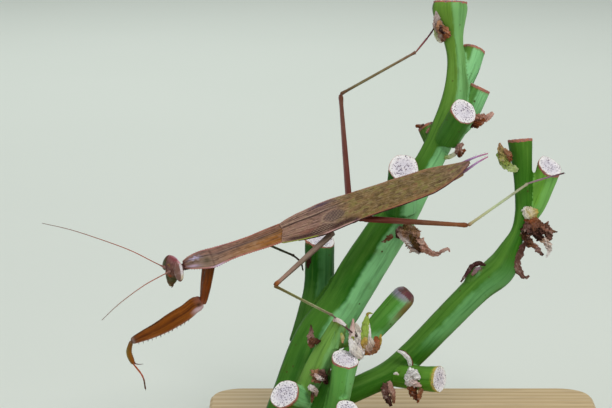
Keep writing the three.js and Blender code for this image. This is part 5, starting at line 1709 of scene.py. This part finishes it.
# each strip: its path, half widths along it, tones of its base and tip, and how crumpled it is
DRY_LEAF = [
    ([[-7.7, 1, 55.9], [-6.8, -1.2, 56.1], [-5.5, -1.6, 56.6], [-3.7, -1.6, 57.3]],
     [0.7, 0.9, 0.8, 0.5], DARK, BROWN, 0.7),
    ([[-2.8, -0.6, 56.8], [-2.3, -1.4, 58.3], [-2.1, -1.6, 59.2], [-1.8, -1.4, 59.9]],
     [0.9, 0.9, 0.8, 0.3], DARK, MAUVE_DRY, 0.6),
    ([[-2.2, -1.4, 58.3], [-1.2, -2.6, 57], [0, -3.4, 56.1], [1.1, -4, 55.3]],
     [0.6, 0.7, 0.6, 0.3], PINK_DRY, WHITE, 0.5),
    ([[-1.7, -1.6, 59.4], [0.1, -2.8, 58.6], [1.8, -3.8, 56.9], [3.9, -4.8, 55.4], [6, -5.4, 54.1]],
     [1.1, 2.0, 1.9, 1.2, 0.5], TAN, PINK_DRY, 1.0),
    ([[-1.3, -2, 57.6], [0.4, -3.2, 56.1], [2.1, -4.2, 54.6], [3.1, -4.6, 53.5]],
     [0.8, 1.5, 1.3, 0.4], TAN, GREY, 1.0),
    # a dark olive strip that stands for the painted shadow between the leaf's two main lobes
    ([[0.3, -3.6, 58.1], [1.8, -4.4, 56.5], [2.7, -5, 54.9], [3.2, -5.2, 53.9]],
     [0.4, 0.8, 0.9, 0.3], OLIVE, DARK, 0.8),
    ([[-1.1, -2.4, 60], [0.4, -3.4, 60.3], [1.7, -3.8, 59.4], [2.7, -4.4, 57.9]],
     [0.7, 1.1, 0.9, 0.4], OLIVE, TAN, 1.0),
    ([[3.8, -5, 55.4], [5.8, -5.6, 54], [7.6, -5.8, 53.7], [9, -5.8, 54.6], [10.2, -5.8, 54.9],
      [10.6, -5.8, 54.2]],
     [1.1, 0.9, 0.7, 0.5, 0.45, 0.2], BROWN, PINK_DRY, 0.9),
]
TORN_STRIPS = [
    ([[-19.1, -15.4, 38.9], [-18.3, -17, 39.3], [-17.2, -17.4, 38.8], [-16, -17.2, 37.9]],
     [0.45, 0.55, 0.55, 0.3], PINK_DRY, WHITE, 0.3),
    ([[-14.5, -17.4, 30.8], [-14.5, -17.2, 33.6], [-14.4, -16.4, 36.5], [-14.1, -15.6, 39.2]],
     [0.5, 0.8, 0.75, 0.2], WHITE, PINK_DRY, 0.5),
    ([[-13.1, -16.4, 31.3], [-13, -16, 33.8], [-13, -15.2, 35.9], [-13.5, -14.6, 37.8]],
     [1.3, 1.5, 1.1, 0.3], WHITE, PALE, 0.7),
    ([[-11.5, -16, 33.5], [-11.3, -15.8, 35.3], [-10.9, -15.2, 37.7], [-10.5, -14.8, 40.1]],
     [1.0, 1.15, 1.0, 0.25], LIME, LIME, 0.4),
    ([[-10, -15.8, 32.9], [-10, -15.6, 35.2], [-10.2, -15, 37.4], [-10.4, -14.6, 39.2]],
     [0.3, 0.45, 0.4, 0.15], WHITE, WHITE, 0.4),
    ([[-10.7, -14.8, 39.6], [-10.5, -14.8, 40.2], [-9.9, -14.6, 40.4], [-9.2, -14.4, 40.2]],
     [0.35, 0.35, 0.25, 0.1], RUST, LIME, 0.3),
    ([[-10.9, -17, 30.1], [-11, -17.4, 32.1], [-11.2, -17.4, 33.6], [-11, -16.8, 34.7]],
     [0.9, 1.2, 1.1, 0.5], RUST, YELLOW, 0.9),
    ([[-10.1, -16.6, 30], [-9.9, -17.6, 32.1], [-9.8, -17.6, 33.7], [-9.8, -16.8, 34.6]],
     [0.8, 1.2, 1.1, 0.4], RUST, PALE, 1.0),
    ([[-9.4, -16.2, 30.1], [-8.7, -17.2, 32], [-8.4, -17.2, 33.6], [-8.3, -16.6, 34.9]],
     [0.8, 1.2, 1.0, 0.4], TAN, RUST, 1.0),
    ([[-8.8, -15.8, 30.3], [-8, -16.4, 32.3], [-7.4, -16.2, 33.8], [-7.1, -15.6, 35.2]],
     [0.6, 0.8, 0.6, 0.15], RUST, YELLOW, 0.7),
    ([[-14.7, -17.6, 34.5], [-14, -18.2, 32.8], [-13.2, -18.4, 31], [-12.2, -18.2, 29.6]],
     [0.6, 1.1, 1.3, 0.5], WHITE, PALE, 0.7),
    ([[-11.8, -16.6, 33.7], [-12.2, -17.4, 32.3], [-12.3, -17.8, 30.9], [-12, -17.6, 29.2]],
     [0.7, 1.0, 1.0, 0.4], GREY, WHITE, 0.8),
    ([[-14.2, -17.2, 35], [-14.3, -17.6, 34.1], [-14.1, -17.8, 33.3]],
     [0.35, 0.4, 0.2], LIME, RUST, 0.4),
    ([[-17.2, -17, 35.9], [-16.8, -17.4, 34.7], [-16.8, -17.6, 33.4]],
     [0.3, 0.5, 0.2], LIME, TAN, 0.2),
]
SCRAPS = [
    ([[-25.1, -15, 32.5], [-24.8, -15.4, 34.4], [-24.6, -15.2, 35.9], [-24.8, -14.6, 37.4]],
     [0.7, 1.0, 0.55, 0.12], PINK_DRY, DARK, 0.6),
    ([[-25.3, -15.2, 32.2], [-24.6, -15.8, 32.9], [-23.6, -15.6, 33.3], [-22.3, -15, 33.3]],
     [0.9, 1.2, 0.9, 0.2], BROWN, DARK, 0.7),
    ([[-24.6, -15.8, 26], [-24.2, -16.8, 25.1], [-23.2, -17.2, 24.1], [-22.1, -17, 23.3]],
     [0.9, 1.4, 1.3, 0.5], TAN, BROWN, 1.0),
    ([[-22.8, -16.4, 25.7], [-21.9, -17.4, 25.1], [-21.1, -17.4, 24], [-20.7, -17, 22.5]],
     [0.8, 1.2, 1.1, 0.4], MAUVE_DRY, DARK, 1.0),
    ([[-24, -17.4, 25.1], [-22.8, -17.8, 24.6], [-21.6, -17.8, 23.7]],
     [0.4, 0.7, 0.3], PINK_DRY, WHITE, 0.8),
    ([[-25.2, -17, 22.2], [-24.3, -17.8, 21.7], [-23.6, -17.8, 20.8], [-23.4, -17.4, 19.4]],
     [0.7, 0.9, 0.7, 0.2], WHITE, BROWN, 0.7),
    ([[-24.2, -17.4, 20.4], [-24.4, -17.4, 19.1], [-24.6, -17.2, 17.7]],
     [0.4, 0.5, 0.15], DARK, BROWN, 0.4),
    ([[-0.9, -13.4, 23.1], [0.2, -14.4, 24.2], [1.5, -14.8, 24.4], [3, -14.4, 23.3]],
     [0.9, 1.5, 1.3, 0.5], WHITE, WHITE, 0.7),
    ([[-0.8, -13.6, 22.1], [0.5, -14.4, 21.9], [2, -14.6, 22], [3.4, -14.2, 21.3]],
     [0.6, 1.1, 1.0, 0.3], WHITE, PINK_DRY, 0.8),
    ([[0.1, -13.4, 20.8], [1, -13.6, 19.7], [1.9, -13.4, 18.4], [2.7, -13, 16.9]],
     [0.8, 1.2, 0.9, 0.3], RUST, DARK, 0.9),
    ([[3.1, -13.4, 21.3], [3.3, -13.6, 19.7], [2.9, -13.4, 18], [2.4, -13, 16.4]],
     [0.5, 0.7, 0.6, 0.2], TAN, RUST, 0.8),
    ([[-5.6, -9.4, 21.4], [-5.6, -11.4, 19.4], [-5.3, -12.6, 17.6], [-4.4, -12.8, 15.4]],
     [0.6, 1.1, 1.0, 0.4], MAUVE_DRY, DARK, 1.0),
    ([[-4.6, -9.6, 21.4], [-4.0, -12.2, 18.6], [-3.6, -13, 16.2]],
     [0.6, 0.9, 0.3], PINK_DRY, BROWN, 0.8),
    ([[-3.7, -12.4, 23.9], [-3.1, -12.8, 24.1], [-2.4, -12.6, 23.7]],
     [0.2, 0.4, 0.15], WHITE, PALE, 0.3),
    ([[-2.7, -10, 29.3], [-1.6, -10.6, 29], [-0.6, -10.6, 28.1], [0.4, -10.2, 26.6], [0.8, -9.6, 24.8],
      [0.9, -9, 23.6]],
     [0.25, 0.5, 0.6, 0.6, 0.5, 0.3], WHITE, WHITE, 0.3),
    ([[-2.2, -9.6, 29.4], [-1.1, -10.2, 29], [0, -10.2, 28], [0.9, -9.8, 26.5], [1.3, -9.2, 24.5]],
     [0.2, 0.35, 0.4, 0.4, 0.2], DARK, RUST, 0.3),
    ([[29.6, 5.6, 62.4], [30.5, 4.2, 62.3], [31.9, 3.9, 62.4], [33.8, 4.9, 61.6]],
     [1.2, 1.7, 1.8, 1.3], WHITE, YELLOW, 0.4),
    ([[30.2, 4.6, 60.3], [31.4, 3.8, 60.4], [33.1, 3.8, 60.4], [34.6, 4.4, 59.6]],
     [0.7, 0.9, 0.9, 0.4], RUST, BROWN, 0.6),
    ([[30.5, 3.8, 59.6], [32, 2.8, 58.9], [33.4, 2.4, 57.4], [34.3, 2.4, 55.3]],
     [1.3, 2.0, 1.9, 0.8], MAUVE_DRY, DARK, 1.1),
    ([[32, 3.2, 59.4], [34, 2.6, 58.9], [35.8, 2.4, 57.8], [37.2, 2.4, 55.4]],
     [1.0, 1.6, 1.5, 0.5], BROWN, MAUVE_DRY, 1.1),
    ([[30.3, 3.4, 58.4], [30.4, 2.8, 56.4], [31.7, 2.6, 54.6], [33.5, 2.6, 53.8]],
     [0.8, 1.3, 1.2, 0.4], DARK, BROWN, 1.1),
    ([[34.3, 2.6, 55.8], [36, 2.4, 54.6], [36.9, 2.4, 52.8], [36.1, 2.4, 50.8]],
     [0.7, 1.0, 0.7, 0.2], TAN, WHITE, 0.9),
    ([[32.6, 2.8, 54.1], [34.1, 2.6, 52.7], [35.2, 2.6, 51.3]],
     [0.6, 0.8, 0.3], PINK_DRY, DARK, 0.9),
    ([[31.2, 2.6, 56], [30, 2.2, 53.6], [29, 1.4, 51.2], [28.7, 0.8, 49.3], [29.2, 0.6, 47.2],
      [30.4, 0.6, 45.8], [31.6, 0.8, 46.4]],
     [0.5, 0.7, 0.9, 1.15, 1.0, 0.7, 0.2], DARK, MAUVE_DRY, 0.8),
    ([[20.2, -0.2, 49.4], [18.5, -0.5, 49.9], [16.6, -0.6, 49.0], [15.4, -0.7, 47.4], [13.8, -1, 45.1]],
     [0.3, 0.7, 0.6, 0.45, 0.15], DARK, (92, 56, 62), 0.5),
    ([[18.8, -1, 49], [17.6, -1.3, 48.2], [16.6, -1.5, 47]],
     [0.3, 0.6, 0.3], (150, 130, 150), MAUVE_DRY, 0.3),
    ([[36.8, 2.8, 58.1], [37.6, 2.4, 57.7], [38.8, 2.2, 57.6]],
     [0.35, 0.4, 0.1], TAN, DARK, 0.6),
    ([[28.8, 8, 72.6], [26.8, 7.4, 73.7], [24.9, 7.6, 75.2], [23.7, 8.2, 77.3]],
     [0.7, 1.2, 1.2, 0.9], (196, 208, 150), LIME, 0.6),
    ([[26.5, 7, 74.4], [25.4, 6.8, 76], [24.2, 7.4, 77.8], [24, 8.6, 79.7]],
     [0.8, 1.4, 1.2, 0.25], LIME, TAN, 0.8),
    ([[27, 6.8, 75.5], [26, 6.4, 77.2], [25.1, 6.8, 78.6]],
     [0.6, 0.9, 0.4], RUST, TAN, 0.9),
    ([[9.6, 14.4, 105.3], [8.6, 13.8, 107.2], [8, 13.6, 109.2], [7.9, 14, 111.3], [7.7, 15.4, 113.1]],
     [1.2, 1.6, 1.4, 1.0, 0.2], BROWN, GREY, 0.7),
    ([[10.6, 13.4, 106.4], [9.7, 12.8, 108], [8.7, 12.8, 109.4], [8.2, 13.2, 111]],
     [0.8, 1.3, 1.2, 0.4], RUST, TAN, 0.7),
    ([[9.5, 12.6, 107.5], [8.9, 12.4, 108.7], [8.5, 12.6, 109.8]],
     [0.4, 0.7, 0.3], DARK, DARK, 0.7),
    ([[7.4, 14.6, 108.4], [7.8, 14.4, 106.7], [8.9, 14.2, 105]],
     [0.4, 0.7, 0.3], LIME, PALE, 0.5),
    ([[16.6, 10.4, 85], [18.6, 9.4, 85.8], [20.8, 9.2, 86.6], [22.3, 9.6, 87.5]],
     [0.9, 1.4, 1.1, 0.4], RUST, PINK_DRY, 0.7),
    ([[16.2, 10.2, 84], [18, 9, 84.6], [20.2, 8.8, 85.8]],
     [0.7, 1.0, 0.4], DARK, RUST, 0.6),
    ([[9.6, 6.4, 76.2], [11.2, 5.2, 76.9], [12.8, 4.6, 78]],
     [0.5, 0.6, 0.5], LIME, PALE, 0.3),
    ([[12.4, 4.6, 77.7], [13.3, 4.4, 79.3], [14.4, 4.6, 80.3]],
     [0.7, 1.0, 0.4], MAUVE_DRY, PINK_DRY, 0.8),
    ([[12.9, 4.2, 77.1], [13.9, 3.8, 78.1], [14.9, 3.8, 78.9]],
     [0.6, 0.8, 0.3], DARK, RUST, 0.6),
    ([[-25.1, 0.6, 51.7], [-25.4, 0.4, 50.1], [-25.5, 0.6, 48.4]],
     [0.5, 0.7, 0.2], DARK, DARK, 0.6),
    ([[2.5, 13, 83.3], [3.3, 11.6, 83.6], [4.6, 11.4, 84]],
     [0.4, 0.5, 0.3], RUST, DARK, 0.4),
    ([[5.3, 11, 81.9], [5.7, 10.6, 82.7], [6.2, 10.6, 83.4]],
     [0.3, 0.5, 0.2], PINK_DRY, RUST, 0.5),
]


def bracts(name, table, first_seed, ease=1.0):
    shape = Shape(row_place)
    for number, (points, widths, base, tip, crumple) in enumerate(table):
        bract(shape, points, widths, base, tip, crumple * ease, first_seed + number)
    shape.make(name, DRY)


bracts("perch_dry_leaf", DRY_LEAF, 3)
bracts("perch_torn_remains", TORN_STRIPS, 31, 0.6)
bracts("perch_dry_bracts", SCRAPS, 61)


# ---------- stand ----------
def wood_material():
    s = Surface("pale_wood", 0.5, Coat_Weight=0.15, Coat_Roughness=0.3)
    warp = s.noise(s.stretch(s.coords, (6, 40, 40)), 1.0, 3, 0.5)
    grain = s.add("ShaderNodeTexWave", [("Vector", s.stretch(s.coords, (4, 60, 60)))], wave_type="BANDS",
                  bands_direction="Y", Scale=1.6, Distortion=7.0, Detail=4.0).outputs["Fac"]
    pores = s.noise(s.stretch(s.coords, (60, 1400, 1400)), 1.0, 3, 0.6)
    colour = s.mixed(s.remap(grain, 0.1, 0.95), (204, 178, 136), (188, 158, 114))
    colour = s.mixed(s.remap(warp, 0.45, 0.7, 0, 0.35), colour, (214, 192, 150))
    colour = s.mixed(s.remap(pores, 0.56, 0.72, 0, 0.5), colour, (120, 88, 52))
    s.colour(colour)
    s.roughness(s.remap(grain, 0.0, 1.0, 0.42, 0.58))
    s.bump(pores, 0.06 * MM, 0.6)
    return s.material


def steel_material():
    s = Surface("brushed_rod", 0.3, Metallic=1.0)
    brush = s.noise(s.stretch(s.coords, (60, 60, 5000)), 1.0, 3, 0.6)
    s.colour(s.mixed(brush, (168, 170, 172), (206, 208, 210)))
    s.roughness(s.remap(brush, 0.3, 0.7, 0.24, 0.42))
    s.bump(brush, 0.01 * MM, 0.5)
    return s.material


def rod():
    """A turned rod with a collar at its foot and an eased shoulder under the perch."""
    shape = Shape(row_place)
    profile = [(4.3, BASE_TOP), (4.5, 6.15), (4.5, 6.75), (4.3, 6.95), (3.35, 7.05), (3.2, 7.25), (3.2, 11.6),
               (3.05, 11.85), (2.6, 11.95)]
    turn = np.linspace(0, 2 * np.pi, 64, endpoint=False)
    x, y = ROD_PLACE
    rows = [np.stack([x + r * np.cos(turn), y + r * np.sin(turn), turn * 0 + z], 1) for r, z in profile]
    shape.grid(rows, (190, 192, 194))
    shape.make("stand_post", steel_material(), ["stand_rod"])


rod()
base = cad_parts["stand_base"]
base.data.materials.clear()
base.data.materials.append(wood_material())
